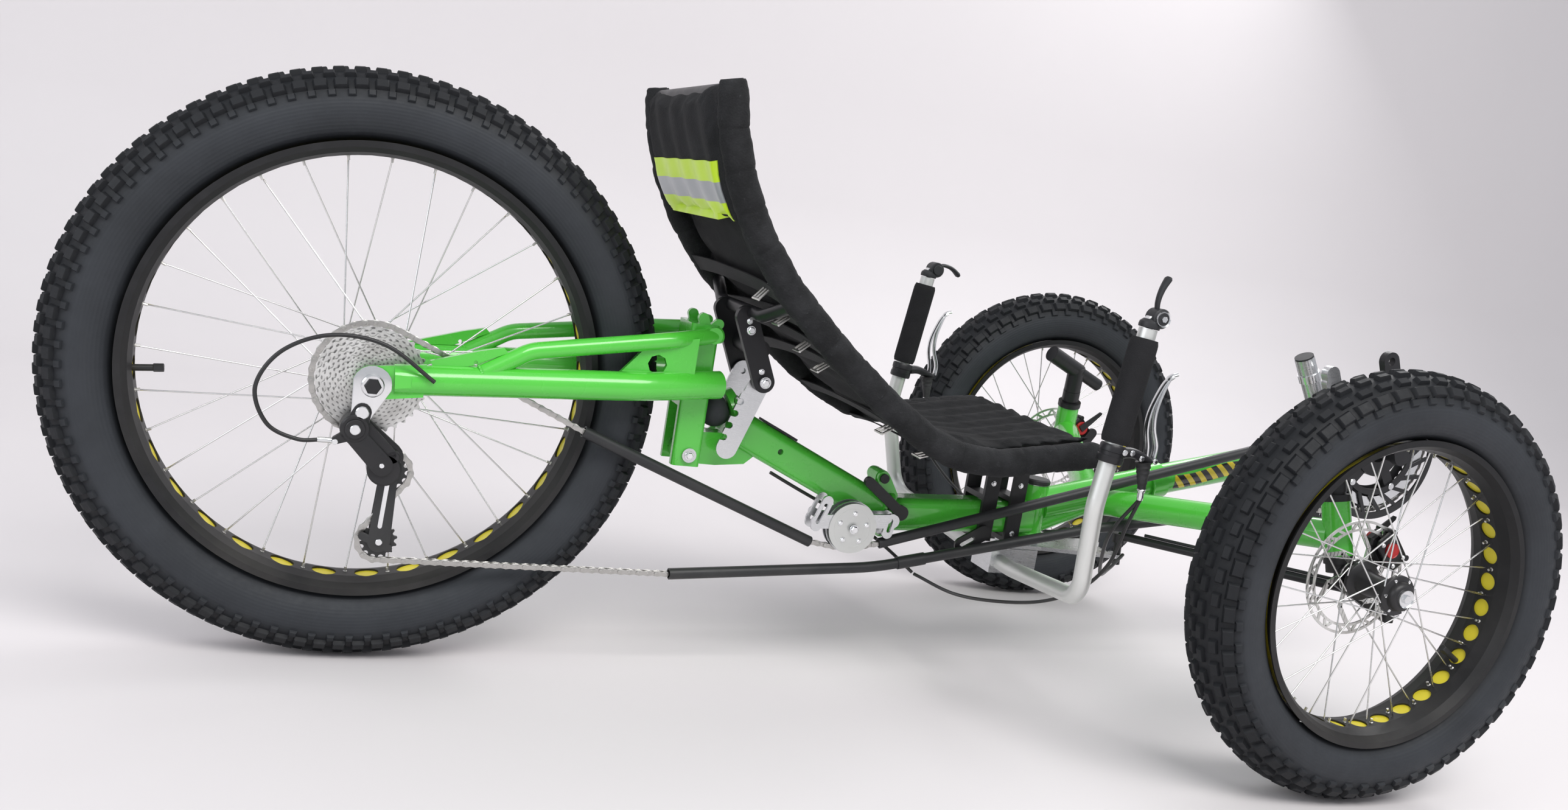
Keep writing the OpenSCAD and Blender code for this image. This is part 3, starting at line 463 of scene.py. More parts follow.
def makeWheel(body, w):
    c, mid, bead = Vector(w["centre"]), w["mid"], w["bead"]
    rubber = makeTyreRubber(w["tag"] + "TyreRubber", w)
    top = math.acos(max(-1.0, (bead + 0.0045 - mid) / tread["wall"]))
    outer = [(mid + tread["wall"] * math.cos(a), tread["half"] * math.sin(a))
             for a in (top * (i / 20 - 1) for i in range(41))]
    inner = [(mid + (tread["wall"] - tread["thick"]) * math.cos(a),
              (tread["half"] - tread["thick"]) * math.sin(a))
             for a in (top * (1 - i / 12) for i in range(25))]
    tyre = lathe(w["tag"] + "TyreCasing", outer + inner, c, rubber, 144)
    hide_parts(w["tag"] + "_tyre")
    parts = []
    step = 2 * math.pi / w["pitches"]
    for at, shift, length, width in tread["rows"] + (tread["shoulder"],):
        for s in (-1, 1):
            big = 1.0 if mid > 0.3 else 1.32
            part = knobPart(length * big, width * (big + 1) / 2, tread["knob"] if at < 1.1
                            else tread["knob"] * 0.7)
            m = (Matrix.Rotation(step * shift + (0.2 if s > 0 else 0.0) * step, 4, "Y")
                 @ Matrix.Translation((0, s * tread["half"] * math.sin(at), mid
                                       + tread["wall"] * math.cos(at)))
                 @ Matrix.Rotation(-s * at, 4, "X"))
            parts.append(([m @ Vector(p) for p in part[0]], part[1]))
    knobs = repeat(w["tag"] + "TyreKnobs", joined(parts), around(w["pitches"], c, w["spin"]), rubber)
    # rim strip, nipples and valve
    strip = lathe(w["tag"] + "RimStrip", [(bead - 0.0102, -0.016), (bead - 0.0092, -0.016),
                                          (bead - 0.0092, 0.016), (bead - 0.0102, 0.016)], c,
                                          finishes["strip"], 96)
    spots = []
    for i in range(32):
        a = math.radians(i * 11.25)
        s = 1 if i % 2 == 0 else -1
        spots.append((c + Vector(((bead - 0.019) * math.cos(a), s * 0.0046, (bead - 0.019) * math.sin(a))),
                      (0.0, math.pi / 2 - a, 0.0)))
    nipple = joined([placed(drum(0.0017, 0, 0.0062, 8), turn=(math.pi / 2, 0, 0)),
                     placed(drum(0.0026, 0, 0.0014, 8), (0, 0, 0.0052), (math.pi / 2, 0, 0))])
    nipples = repeat(w["tag"] + "Nipples", nipple, spots, finishes["brass"])
    a = math.radians(11.25 * 16.5) if body == "rear_wheel" else math.radians(-30)
    stem = joined([placed(drum(0.0042, 0, 0.026, 12), turn=(math.pi / 2, 0, 0)),
                   placed(drum(0.0052, 0, 0.012, 6), (0, 0, -0.010), (math.pi / 2, 0, 0))])
    valve = repeat(w["tag"] + "Valve", stem, [(c + Vector(((bead - 0.036) * math.cos(a), 0.0,
                                                           (bead - 0.036) * math.sin(a))),
                                             (0.0, math.pi / 2 - a, 0.0))], finishes["black_plastic"])
    for obj, name in ((tyre, "tyre"), (knobs, "tyre"), (strip, "rim"), (nipples, "spoke"), (valve, "rim")):
        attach(obj, body)


for body, w in wheels.items():
    makeWheel(body, w)
print("wheels made")

# rear sprockets
gears = {"centre": (-0.673, 0.0, 0.372), "first": -0.064, "pitch": -0.0036, "thick": 0.0018,
         "roots": [0.064] + [(136 - 12.2 * i) / 2000 - 0.0035 for i in range(1, 9)]}


def toothRing(root, hole, thick, link=0.0127):
    n = max(8, round(2 * math.pi * (root + 0.004) / link))
    verts, faces = [], []
    for i in range(n):
        for k, r in ((0.0, root), (0.22, root + 0.0006), (0.40, root + 0.0038), (0.50, root + 0.0042),
                     (0.60, root + 0.0038), (0.78, root + 0.0006)):
            a = 2 * math.pi * (i + k) / n
            for rr in (hole, r):
                for y in (-thick / 2, thick / 2):
                    verts.append((rr * math.cos(a), y, rr * math.sin(a)))
    m = n * 6
    for i in range(m):
        a, b = 4 * i, 4 * ((i + 1) % m)
        faces += [(a, b, b + 2, a + 2), (a + 1, a + 3, b + 3, b + 1), (a + 2, b + 2, b + 3, a + 3),
                  (a, a + 1, b + 1, b)]
    return verts, faces


def makeGearSteel():
    f = Finish("gearSteel", metal=1.0)
    x, y, z = f.axes()
    cx, cy, cz = gears["centre"]
    r = ((x - cx) ** 2.0 + (z - cz) ** 2.0) ** 0.5
    a = f.add("ShaderNodeMath", {"operation": "ARCTAN2"}, {0: z - cz, 1: x - cx})
    dots = ((a * 24.0).sin() * (r * 1030.0).sin() - 0.35).clamp() * 3.0
    grease = f.grain(22.0, 6.0)
    f.set(colour=f.blend(dots.clamp() * 0.6, f.blend((grease - 0.45).clamp() * 1.6, (0.80, 0.80, 0.78),
                                                  (0.16, 0.14, 0.12)), (0.03, 0.03, 0.03)),
          rough=0.24 + 0.3 * grease, normal=f.bump(f.grain(14.0, 3.0, stretch=(30.0, 1.0, 30.0)), 0.1,
                                                   0.0004))
    return f.material


finishes["gears"] = makeGearSteel()
rings = [placed(toothRing(root, max(0.0134, root - 0.014), gears["thick"]),
                Vector(gears["centre"]) + Vector((0, gears["first"] + gears["pitch"] * i, 0)),
                (0, 0.3 * i, 0))
         for i, root in enumerate(gears["roots"])]
rings.append(placed(drum(0.0175, -0.095, -0.060, 24), gears["centre"]))
rings.append(placed(toothRing(0.0128, 0.0066, 0.004, 0.006), Vector(gears["centre"])
                    + Vector((0, -0.0955, 0))))
cassette = makePiece("gearCluster", *joined(rings), finishes["gears"])
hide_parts("cassette")
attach(cassette, "rear_wheel")

# chain
run = {"link": 0.0127, "x": -0.673, "height": 0.0078}


def onCircle(c, r, a):
    return (c[0] + r * math.cos(a), c[1] + r * math.sin(a))


def tangentAt(c, r, p, s):
    d = (p[0] - c[0], p[1] - c[1])
    return math.atan2(d[1], d[0]) + s * math.acos(r / math.hypot(*d))


def crossAt(a, ra, b, rb, s):
    d = (b[0] - a[0], b[1] - a[1])
    return math.atan2(d[1], d[0]) - s * math.acos((ra + rb) / math.hypot(*d))


def arc(c, r, a0, a1):
    n = max(2, int(abs(a1 - a0) * r / 0.003))
    return [onCircle(c, r, a0 + (a1 - a0) * i / n) for i in range(n + 1)]


def chainSpots(points, y):
    spots, left = [], run["link"] / 2
    for (x0, z0), (x1, z1) in zip(points, points[1:]):
        d = math.hypot(x1 - x0, z1 - z0)
        at = left
        while at < d:
            t = at / d
            spots.append(((x0 + (x1 - x0) * t + run["x"], y, z0 + (z1 - z0) * t),
                          (0.0, -math.atan2(z1 - z0, x1 - x0), 0.0)))
            at += run["link"]
        left = at - d
    return spots


def stadium(half, r, waist, n=5):
    pts = [(half + r * math.cos(a), r * math.sin(a)) for a in (math.pi * (i / n - 0.5) for i in range(n + 1))]
    pts.append((0.0, waist))
    pts += [(-half + r * math.cos(a), r * math.sin(a))
            for a in (math.pi * (i / n + 0.5) for i in range(n + 1))]
    return pts + [(0.0, -waist)]


def chainLink(gapHalf, pins):
    side = plate(stadium(run["link"] / 2, run["height"] / 2, 0.0029), 0.001, 0.06)
    parts = [placed(side, (0, s * gapHalf, 0)) for s in (-1, 1)]
    r = 0.0017 if pins else 0.0036
    return joined(parts + [placed(drum(r, -gapHalf - (0.0007 if pins else -0.0004),
                                       gapHalf + (0.0007 if pins else -0.0004), 8),
                                       (k * run["link"] / 2, 0, 0))
                           for k in (-1, 1)])


cogAt, cogR = (0.0, 0.372), 0.0683
topAt, lowAt, pulleyR = (0.034, 0.258), (0.031, 0.170), 0.0253
idleAt, idleR, ringAt, ringR = (0.674, 0.226), 0.0343, (1.6, 0.422), 0.104
fromCog, fromTop = crossAt(cogAt, cogR, topAt, pulleyR, 1), crossAt(topAt, pulleyR, lowAt, pulleyR, -1)
upOut, lowOut = tangentAt(cogAt, cogR, (0.269, 0.331), 1), tangentAt(lowAt, pulleyR, (0.412, 0.146), -1)
idleIn, idleOut = tangentAt(idleAt, idleR, (0.617, 0.199), 1), tangentAt(idleAt, idleR, (0.725, 0.203), -1)
ringUp, ringLow = tangentAt(ringAt, ringR, (1.356, 0.399), -1), tangentAt(ringAt, ringR, (1.360, 0.297), 1)
turn = 2 * math.pi



runs = [
    ([(0.269, 0.331)] + arc(cogAt, cogR, upOut, fromCog + turn)
     + arc(topAt, pulleyR, fromCog + math.pi, fromTop)
     + arc(lowAt, pulleyR, fromTop + math.pi, lowOut + turn) + [(0.412, 0.146)], -0.064),
    ([(0.617, 0.199)] + arc(idleAt, idleR, idleIn, idleOut) + [(0.725, 0.203)], -0.046),
    ([(1.360, 0.297)] + arc(ringAt, ringR, ringLow, ringUp + turn) + [(1.356, 0.399)], -0.050)]
links = [chainSpots(points, y) for points, y in runs]
outerLinks = repeat("chainOuterLinks", chainLink(0.0027, True), [s for l in links for s in l[::2]],
                    finishes["chain"])
innerLinks = repeat("chainInnerLinks", chainLink(0.0016, False), [s for l in links for s in l[1::2]],
                    finishes["chain"])
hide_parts("chain")
for obj in (outerLinks, innerLinks):
    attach(obj, "frame")
print("sprockets and chain made:", sum(len(l) for l in links), "links")

# seat
seat = {"line": [(362, 796), (372, 740), (392, 680), (424, 620), (476, 556), (556, 486), (640, 424),
                 (700, 388), (752, 366), (820, 362), (900, 376), (975, 388)],
        "railY": 0.1785, "sleeve": 0.0195, "half": 0.1615,
        "pocket": 0.172, "seam": 0.050, "straps": (0.262, 0.318, 0.352, 0.402, 0.520, 0.600), "voxel": 0.0055}


def filletPath(points, r, step=0.006):
    pts = [Vector(p) for p in points]
    path = [pts[0]]
    for a, b, c in zip(pts, pts[1:], pts[2:]):
        u, v = (a - b).normalized(), (c - b).normalized()
        back = min(r / math.tan(u.angle(v) / 2), 0.49 * (a - b).length, 0.49 * (c - b).length)
        path += [(b + u * back) * (1 - t) ** 2 + b * 2 * t * (1 - t) + (b + v * back) * t * t
                 for t in (i / 8 for i in range(9))]
    path.append(pts[-1])
    even, left = [path[0]], step
    for a, b in zip(path, path[1:]):
        d = (b - a).length
        while left < d:
            even.append(a.lerp(b, left / d))
            left += step
        left -= d
    return even + [path[-1]]


seatPath = filletPath([((x - 673) / 1000, 0, z / 1000) for x, z in seat["line"]], 0.12, 0.005)
seatAt = [0.0]
for a, b in zip(seatPath, seatPath[1:]):
    seatAt.append(seatAt[-1] + (b - a).length)
seatLong = seatAt[-1]


def onSeat(s, off, y=0.0):
    # a point a distance s down the seat line, off in front of the rails
    s = max(0.0, min(seatLong, s))
    i = max(0, min(len(seatPath) - 2, int(s / 0.005)))
    while i < len(seatPath) - 2 and seatAt[i + 1] < s:
        i += 1
    while i > 0 and seatAt[i] > s:
        i -= 1
    a, b = seatPath[max(0, i - 2)], seatPath[min(len(seatPath) - 1, i + 3)]
    d = (b - a).normalized()
    p = seatPath[i].lerp(seatPath[i + 1], (s - seatAt[i]) / max(1e-6, seatAt[i + 1] - seatAt[i]))
    return p + Vector((-d.z, 0, d.x)) * off + Vector((0, y, 0))


def makeCloth(name, tone, sheen, scale, rough=0.86):
    f = Finish(name, specular=0.25, sheenRough=0.4)
    weave = f.add("ShaderNodeTexVoronoi", inputs={"Vector": f.place(), "Scale": scale})
    fold = f.grain(7.0, 4.0)
    lintAndSheen = (f.grain(260.0, 4.0) - 0.63).clamp() * 2.5
    wear = (f.grain(30.0, 5.0) - 0.42).clamp() * 1.3
    # lighter grey flecks: part real lint and wear, part painted sheen, its strength set by the sheen argument
    f.set(colour=f.blend((lintAndSheen + wear * 0.5).clamp() * sheen,
                         f.blend(fold, tone, tuple(c * 1.9 for c in tone)),
                         (0.095, 0.097, 0.105)),
          rough=rough + 0.1 * fold,
          normal=f.bump(weave, 0.5, 0.0012, f.bump(f.grain(55.0, 4.0), 0.35, 0.002)))
    return f.material


def makeBand(name, tone, metal=0.0):
    f = Finish(name, metal=metal, coat=0.3, coatRough=0.3)
    cells = f.add("ShaderNodeTexVoronoi", inputs={"Vector": f.place(), "Scale": 420.0})
    crease = f.grain(18.0, 4.0)
    f.set(colour=f.blend(crease * 0.6, tone, tuple(c * 0.7 for c in tone)), rough=0.34 + 0.2 * crease,
          normal=f.bump(cells, 0.2, 0.0005, f.bump(crease, 0.3, 0.002)))
    return f.material


def makeWebbing():
    f = Finish("webbing", specular=0.3)
    x, y, z = f.axes()
    ribs = (y * 2600.0).sin()
    f.set(colour=f.blend(f.grain(60.0, 4.0) * 0.6, (0.012, 0.012, 0.013), (0.04, 0.04, 0.043)),
          rough=0.7 + 0.15 * f.grain(30.0, 3.0), normal=f.bump(ribs, 0.4, 0.0006))
    return f.material


# the third number of each cloth is the strength of its painted sheen
finishes["meshCloth"] = makeCloth("meshCloth", (0.0075, 0.0078, 0.0085), 0.35, 620.0)
finishes["sleeveCloth"] = makeCloth("sleeveCloth", (0.0095, 0.0098, 0.0105), 0.75, 430.0)
finishes["pocketCloth"] = makeCloth("pocketCloth", (0.008, 0.0083, 0.009), 0.5, 520.0, 0.8)
finishes["bandYellow"] = makeBand("bandYellow", (0.60, 0.86, 0.02))
finishes["bandSilver"] = makeBand("bandSilver", (0.42, 0.44, 0.46), 0.35)
finishes["webbing"] = makeWebbing()


def clothPass(obj, pinned, voxel, cap, pressure=4.0, grow=-0.035):
    # soft shape: even mesh, short inflation, movement held to the cap, one subdivision
    scene = bpy.context.scene
    m = obj.modifiers.new("even", "REMESH")
    m.mode, m.voxel_size = "VOXEL", voxel
    bpy.context.view_layer.update()
    obj.data = bpy.data.meshes.new_from_object(obj.evaluated_get(bpy.context.evaluated_depsgraph_get()))
    obj.modifiers.clear()
    rest = [v.co.copy() for v in obj.data.vertices]
    group = obj.vertex_groups.new(name="pin")
    group.add([i for i, p in enumerate(rest) if pinned(p)], 1.0, "REPLACE")
    cloth = obj.modifiers.new("cloth", "CLOTH")
    s = cloth.settings
    s.quality, s.mass, s.vertex_group_mass = 5, 0.3, "pin"
    s.use_pressure, s.uniform_pressure_force = True, pressure
    s.shrink_min, s.effector_weights.gravity = grow, 0.0
    s.tension_stiffness, s.compression_stiffness, s.bending_stiffness = 12.0, 12.0, 0.25
    cloth.collision_settings.use_collision = False
    cloth.point_cache.frame_start, cloth.point_cache.frame_end = 1, 20
    for i in range(1, 21):
        scene.frame_set(i)
    bpy.context.view_layer.update()
    settled = bpy.data.meshes.new_from_object(obj.evaluated_get(bpy.context.evaluated_depsgraph_get()))
    obj.modifiers.clear()
    for v, old in zip(settled.vertices, rest):
        d = v.co - old
        v.co = old + d * min(1.0, cap / max(d.length, 1e-9))
    obj.data = settled
    scene.frame_set(1)
    m = obj.modifiers.new("finer", "SUBSURF")
    m.levels = 1
    bpy.context.view_layer.update()
    obj.data = bpy.data.meshes.new_from_object(obj.evaluated_get(bpy.context.evaluated_depsgraph_get()))
    obj.modifiers.clear()
    obj.vertex_groups.clear()
    for f in obj.data.polygons:
        f.use_smooth = True
    return obj


def shell(name, rows, cols, at, material):
    # closed skin between at(i, j, 0) and at(i, j, 1)
    n = cols + 1
    verts = [at(i / rows, j / cols, k) for k in (0, 1) for i in range(rows + 1) for j in range(cols + 1)]
    half = (rows + 1) * n
    faces = []
    for i in range(rows):
        for j in range(cols):
            q = (i * n + j, i * n + j + 1, (i + 1) * n + j + 1, (i + 1) * n + j)
            faces += [q, tuple(half + v for v in reversed(q))]
    for i in range(rows):
        for j in (0, cols):
            a, b = i * n + j, (i + 1) * n + j
            faces.append((a, b, half + b, half + a))
    for j in range(cols):
        for i in (0, rows):
            a, b = i * n + j, i * n + j + 1
            faces.append((a, b, half + b, half + a))
    return makePiece(name, verts, faces, material)


def makeSling():
    start = seat["pocket"] - 0.02

    def at(u, v, k):
        s = start + (seatLong - 0.004 - start) * u
        y = seat["half"] * (2 * v - 1)
        sag = 0.010 * (1 - (2 * v - 1) ** 2) * math.sin(math.pi * min(1.0, u * 1.02)) ** 0.5
        pan = max(0.0, min(1.0, (s - 0.56) / 0.1))
        fold = 0.0022 * math.sin(s * 95 + 3.0 * v) * (1 - abs(2 * v - 1)) ** 0.3
        gather = pan * 0.004 * math.sin(v * 46 + 9 * s) * (0.4 + 0.6 * abs(2 * u - 1))
        return onSeat(s, (0.0185 if k else 0.0125) - sag + fold * (1 - pan) + gather, y)

    panel = shell("seatSling", 130, 60, at, finishes["meshCloth"])
    clothPass(panel, lambda p: abs(p.y) > seat["half"] - 0.010, seat["voxel"], 0.009)
    return panel


def makeSleeve(side):
    path = [onSeat(s, 0.0, side * seat["railY"]) for s in
            [0.0005 + (seatLong - 0.001) * i / 260 for i in range(261)]]

    def size(i):
        s = seatLong * i / 260
        near = abs((s + 0.017) % seat["seam"] - seat["seam"] / 2)
        pinch = 0.07 * math.exp(-(near / 0.0026) ** 2)
        end = 0.22 * math.exp(-min(i, 260 - i) / 2.0)
        return 1.0 - pinch - end + 0.035 * noise.noise(Vector((s * 38, side * 3.0, 0)))

    sleeve = sweep("seatSleeveLeft" if side > 0 else "seatSleeveRight", path, circle(seat["sleeve"], 22),
                   finishes["sleeveCloth"], size=size)
    for v in sleeve.data.vertices:
        v.co += Vector((noise.noise(v.co * 90), noise.noise(v.co * 90 + Vector((7, 0, 0))),
                        noise.noise(v.co * 90 + Vector((0, 9, 0))))) * 0.0011
    return sleeve


def makePocket():
    # cloth pocket pulled over the head tube, as one soft body
    long = seat["pocket"]

    def at(u, v, k):
        s = 0.001 + (long - 0.001) * u
        edge = abs(2 * v - 1)
        y = seat["half"] * 1.02 * (2 * v - 1)
        thin = math.sqrt(max(0.0, 1 - (1 - min(1.0, u / 0.09)) ** 2))
        front = 0.0205 - 0.004 * (1 - edge ** 2)
        back = -0.0165 + 0.005 * (1 - edge ** 2) * u + 0.0018 * math.sin(30 * v + 4 * u)
        mid = 0.002
        p = onSeat(s, mid + (front - mid) * thin if k else mid + (back - mid) * thin, y)
        p.z -= 0.016 * max(0.0, edge - 0.82) ** 2 / 0.0324 * (1 - min(1.0, u * 5))
        return p

    pocket = shell("seatPocket", 40, 60, at, finishes["pocketCloth"])
    return clothPass(pocket, lambda p: abs(p.y) > seat["half"] - 0.012, seat["voxel"], 0.007, 5.0)


def layOn(target, points, away, lift):
    # drops points onto the target's skin, from the side away points to
    from mathutils.bvhtree import BVHTree
    bpy.context.view_layer.update()
    tree = BVHTree.FromObject(target, bpy.context.evaluated_depsgraph_get())
    done = []
    for p in points:
        hit = tree.ray_cast(p + away * 0.12, -away, 0.3)[0]
        done.append((hit if hit else p) + away * lift)
    return done


def makeBandStrip(pocket):
    rows, cols, y0, y1 = 9, 64, -0.150, 0.158
    grid = [onSeat(0.094 + 0.074 * i / rows, -0.02, y0 + (y1 - y0) * j / cols)
            for i in range(rows + 1) for j in range(cols + 1)]
    d = (onSeat(0.15, 0) - onSeat(0.09, 0)).normalized()
    away = Vector((d.z, 0, -d.x))
    top = layOn(pocket, grid, away, 0.0014)
    n, half = cols + 1, len(top)
    verts = top + [p - away * 0.0012 for p in top]
    faces = []
    for i in range(rows):
        for j in range(cols):
            q = (i * n + j, i * n + j + 1, (i + 1) * n + j + 1, (i + 1) * n + j)
            faces += [q, tuple(half + v for v in reversed(q))]
    for i in range(rows):
        for j in (0, cols):
            faces.append((i * n + j, (i + 1) * n + j, half + (i + 1) * n + j, half + i * n + j))
    for j in range(cols):
        for i in (0, rows):
            faces.append((i * n + j, i * n + j + 1, half + i * n + j + 1, half + i * n + j))
    band = makePiece("seatBand", verts, faces, finishes["bandYellow"])
    band.data.materials.append(finishes["bandSilver"])
    for f in band.data.polygons:
        t = (Vector(f.center) - onSeat(0.094, 0)).dot(d) / 0.074
        f.material_index = 1 if 0.335 < t < 0.665 else 0
    return band


def makeStraps():
    parts, buckles = [], []
    for k, s in enumerate(seat["straps"]):
        tilt = 0.02 if k % 2 else -0.012
        path = [onSeat(s + tilt * (j / 24 - 0.5), -0.010 - 0.006 * abs(j / 12 - 1) ** 3, -0.170
                       + 0.340 * j / 24)
                for j in range(25)]
        d = (onSeat(s + 0.01, 0) - onSeat(s - 0.01, 0)).normalized()
        verts, faces = [], []
        for p in path:
            up = Vector((-d.z, 0, d.x))
            verts += [p + d * 0.0125 + up * 0.0008, p - d * 0.0125 + up * 0.0008,
                      p - d * 0.0125 - up * 0.0008, p + d * 0.0125 - up * 0.0008]
        for i in range(24):
            faces += [(4 * i + j, 4 * i + (j + 1) % 4, 4 * i + 4 + (j + 1) % 4, 4 * i + 4 + j)
                      for j in range(4)]
        faces += [(0, 1, 2, 3), tuple(reversed(range(96, 100)))]
        parts.append((verts, faces))
        buckles.append((path[3] + Vector((d.z, 0, -d.x)) * 0.0035,
                        (0.0, math.atan2(d.x, -d.z) + math.pi / 2, 0.0)))
    straps = makePiece("seatStraps", *joined(parts), finishes["webbing"], smooth=False)
    bars = []
    for y in (-0.011, 0.0, 0.011):
        bars.append(placed(drum(0.0017, -0.016, 0.016, 10), (0, y, 0), (math.pi / 2, 0, 0)))
    for z in (-0.0155, 0.0155):
        bars.append(placed(drum(0.0017, -0.0125, 0.0125, 10), (0, 0, z)))
    glides = repeat("seatBuckles", joined([placed(b, turn=(0, math.pi / 2, 0)) for b in bars]), buckles,
                    finishes["brass"])
    return straps, glides


sling, pocket = makeSling(), makePocket()
sleeves = [makeSleeve(s) for s in (1, -1)]
band = makeBandStrip(pocket)
straps, glides = makeStraps()
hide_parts("seat_sling")
for obj, name in [(sling, "mesh"), (pocket, "mesh"), (band, "mesh"), (straps, "mesh"),
                  (glides, "steel")] + [(s, "mesh") for s in sleeves]:
    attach(obj, "frame")
print("seat made")

# controls
# points are (x, z) in the plane of each control, and stations are (distance, size) along it
controls = {
    "gripA": (0.2213, 0.31926, 0.430), "gripB": (0.2373, 0.3181, 0.567), "grip": 0.0185, "gripSteps": 28,
    "tip": (0.239, 0.318, 0.580), "perch": (0.2189, 0.3194, 0.404), "up": (0.1188, 0.0, 0.9929),
    "plug": ((0.001, 1.0), (0.004, 1.04), (0.008, 1.0), (0.012, 0.72)), "plugRadius": 0.0135,
    "hub": (0.010, 0, 0.015), "clampRadius": 0.0172,
    "clamp": ((0.0, 0.93), (0.002, 1), (0.009, 1), (0.0095, 0.95), (0.0145, 0.95), (0.015, 1), (0.022, 1),
              (0.024, 0.93)),
    "thumb": {1: ((0.010, 0.018), (0.024, 0.024), (0.042, 0.021), (0.058, 0.010)),
              -1: ((0.008, 0.020), (0.006, 0.036), (0.009, 0.052), (0.016, 0.068))},
    "body": ((0.236, 0.418), (0.252, 0.419), (0.270, 0.414), (0.282, 0.410)),
    "bolts": ((0.283, 0.0088, 0.412), (0.262, 0.0080, 0.414), (0.228, 0.0172, 0.421), (0.246, 0.0086, 0.420)),
    "outer": ((0.285, 0.414), (0.285, 0.432), (0.276, 0.455), (0.274, 0.478), (0.279, 0.503), (0.286, 0.522),
              (0.296, 0.527)),
    "inner": ((0.274, 0.414), (0.272, 0.430), (0.266, 0.452), (0.266, 0.474), (0.273, 0.498), (0.281, 0.515),
              (0.290, 0.523)),
    "boot": ((0.272, 0.409), (0.2775, 0.372)), "bootRadius": 0.0100,
    "barrel": ((0.2775, 0.374), (0.278, 0.358)),
    "barrelSizes": (1.0, 1.25, 1.25, 1.0, 0.95, 1.0, 0.95, 1.0, 0.95, 0.9, 0.8), "barrelRadius": 0.0046}
# the third number is the strength of the painted sheen on the grip
finishes["foamGrip"] = makeCloth("foamGripSkin", (0.011, 0.011, 0.012), 0.25, 900.0, 0.92)
finishes["polished"] = makeSteel("polishedAlloy", (0.80, 0.81, 0.82), 0.12, (30.0, 30.0, 30.0))
finishes["boot"] = makeRubber("bootRubber", (0.012, 0.012, 0.013), 0.5)


def flipY(points, s):
    return [Vector((p[0], p[1] * s, p[2])) for p in points]


def along(a, b, steps):
    a, b = Vector(a), Vector(b)
    return [a.lerp(b, i / steps) for i in range(steps + 1)]


def oval(a, b, n=12):
    return [(a * math.cos(2 * math.pi * i / n), b * math.sin(2 * math.pi * i / n)) for i in range(n)]


def addTo(body, name, *objs):
    for obj in objs:
        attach(obj, body)


def hexBolt(r, length, head=0.004):
    return joined([placed(drum(r * 1.25, 0.0, 0.0012, 16)), placed(drum(r, 0.0, head, 6, 0.2)),
                   placed(drum(r * 0.55, -length, 0.0, 10))])


def inPlane(points, y):
    return [Vector((x, y, z)) for x, z in points]


def facing(side):
    return (0.0 if side > 0 else math.pi, 0.0, 0.0)


def collar(name, start, rows, r, sides, material):
    up = Vector(controls["up"])
    return sweep(name, [start + up * at for at, size in rows], circle(r, sides), material,
                 size=lambda i: rows[i][1])


def makeShifter(tag, side):
    tip = Vector((controls["tip"][0], controls["tip"][1] * side, controls["tip"][2]))
    plug = collar(tag + "ShifterPlug", tip, controls["plug"], controls["plugRadius"], 20,
                  finishes["black_plastic"])
    hub = tip + Vector(controls["hub"])
    case = makePiece(tag + "ShifterCase", *joined([
        placed(drum(0.0128, -0.0115, 0.0095, 28, 0.1), hub), placed(drum(0.0085, 0.010, 0.0125, 20), hub),
        placed(drum(0.0085, -0.0145, -0.0120, 20), hub)]), finishes["black_plastic"])
    caps = [placed(drum(0.0104, side * 0.0095, side * 0.0135, 24, 0.16), hub),
            placed(drum(0.0042, side * 0.0135, side * 0.0160, 6), hub),
            placed(drum(0.0090, -0.006, 0.006, 20), tip + Vector((0.002, 0, 0.009)))]
    if side < 0:
        caps = [(v, [tuple(reversed(f)) for f in fs]) for v, fs in caps]
    cap = makePiece(tag + "ShifterCap", *joined(caps), finishes["polished"])
    path = smoothPath([tip + p for p in inPlane(controls["thumb"][side], 0)], 6)
    thumb = sweep(tag + "ShifterLever", path, oval(0.0052, 0.0033), finishes["black_plastic"],
                  size=lambda i: 0.85 + 0.55 * (i / 18) ** 2 - (0.5 if i >= 18 else 0.0))
    addTo("handlebar", "black_plastic", plug, case, thumb)
    addTo("handlebar", "bar", cap)
    return case


def makeLever(tag, side):
    perch = Vector((controls["perch"][0], controls["perch"][1] * side, controls["perch"][2]))
    y = perch.y
    clamp = collar(tag + "PerchClamp", perch, controls["clamp"], controls["clampRadius"], 24,
                   finishes["black_metal"])
    body = sweep(tag + "PerchBody", smoothPath(inPlane(controls["body"], y), 5), oval(0.0085, 0.0075, 14),
                 finishes["black_metal"], size=lambda i: 1.0 - 0.02 * i if i < 14 else 0.66)
    pins = repeat(tag + "PerchBolts", hexBolt(0.0031, 0.006, 0.0024),
                  [(Vector((x, y + side * out, z)), facing(side)) for x, out, z in controls["bolts"]],
                  finishes["polished"])
    # blade with its window: two rails that meet at the hooked end
    blade = sweep(tag + "LeverBlade", smoothPath(inPlane(controls["outer"], y), 5), oval(0.0050, 0.0030),
                  finishes["polished"], size=lambda i: 1.0 if i < 26 else 0.85)
    rail = sweep(tag + "LeverRail", smoothPath(inPlane(controls["inner"], y), 5), oval(0.0046, 0.0026),
                 finishes["polished"])
    boot = sweep(tag + "LeverBoot", along(*inPlane(controls["boot"], y), 16),
                 circle(controls["bootRadius"], 18),
                 finishes["boot"], size=lambda i: (1.0 - 0.032 * i) * (1.0 + (0.09 if i % 3 == 0 else 0.0)))
    barrel = sweep(tag + "LeverBarrel", along(*inPlane(controls["barrel"], y), 10),
                   circle(controls["barrelRadius"], 12), finishes["polished"],
                   size=lambda i: controls["barrelSizes"][i])
    addTo("handlebar", "black_plastic", body, clamp, boot)
    addTo("handlebar", "bar", pins, blade, rail, barrel)


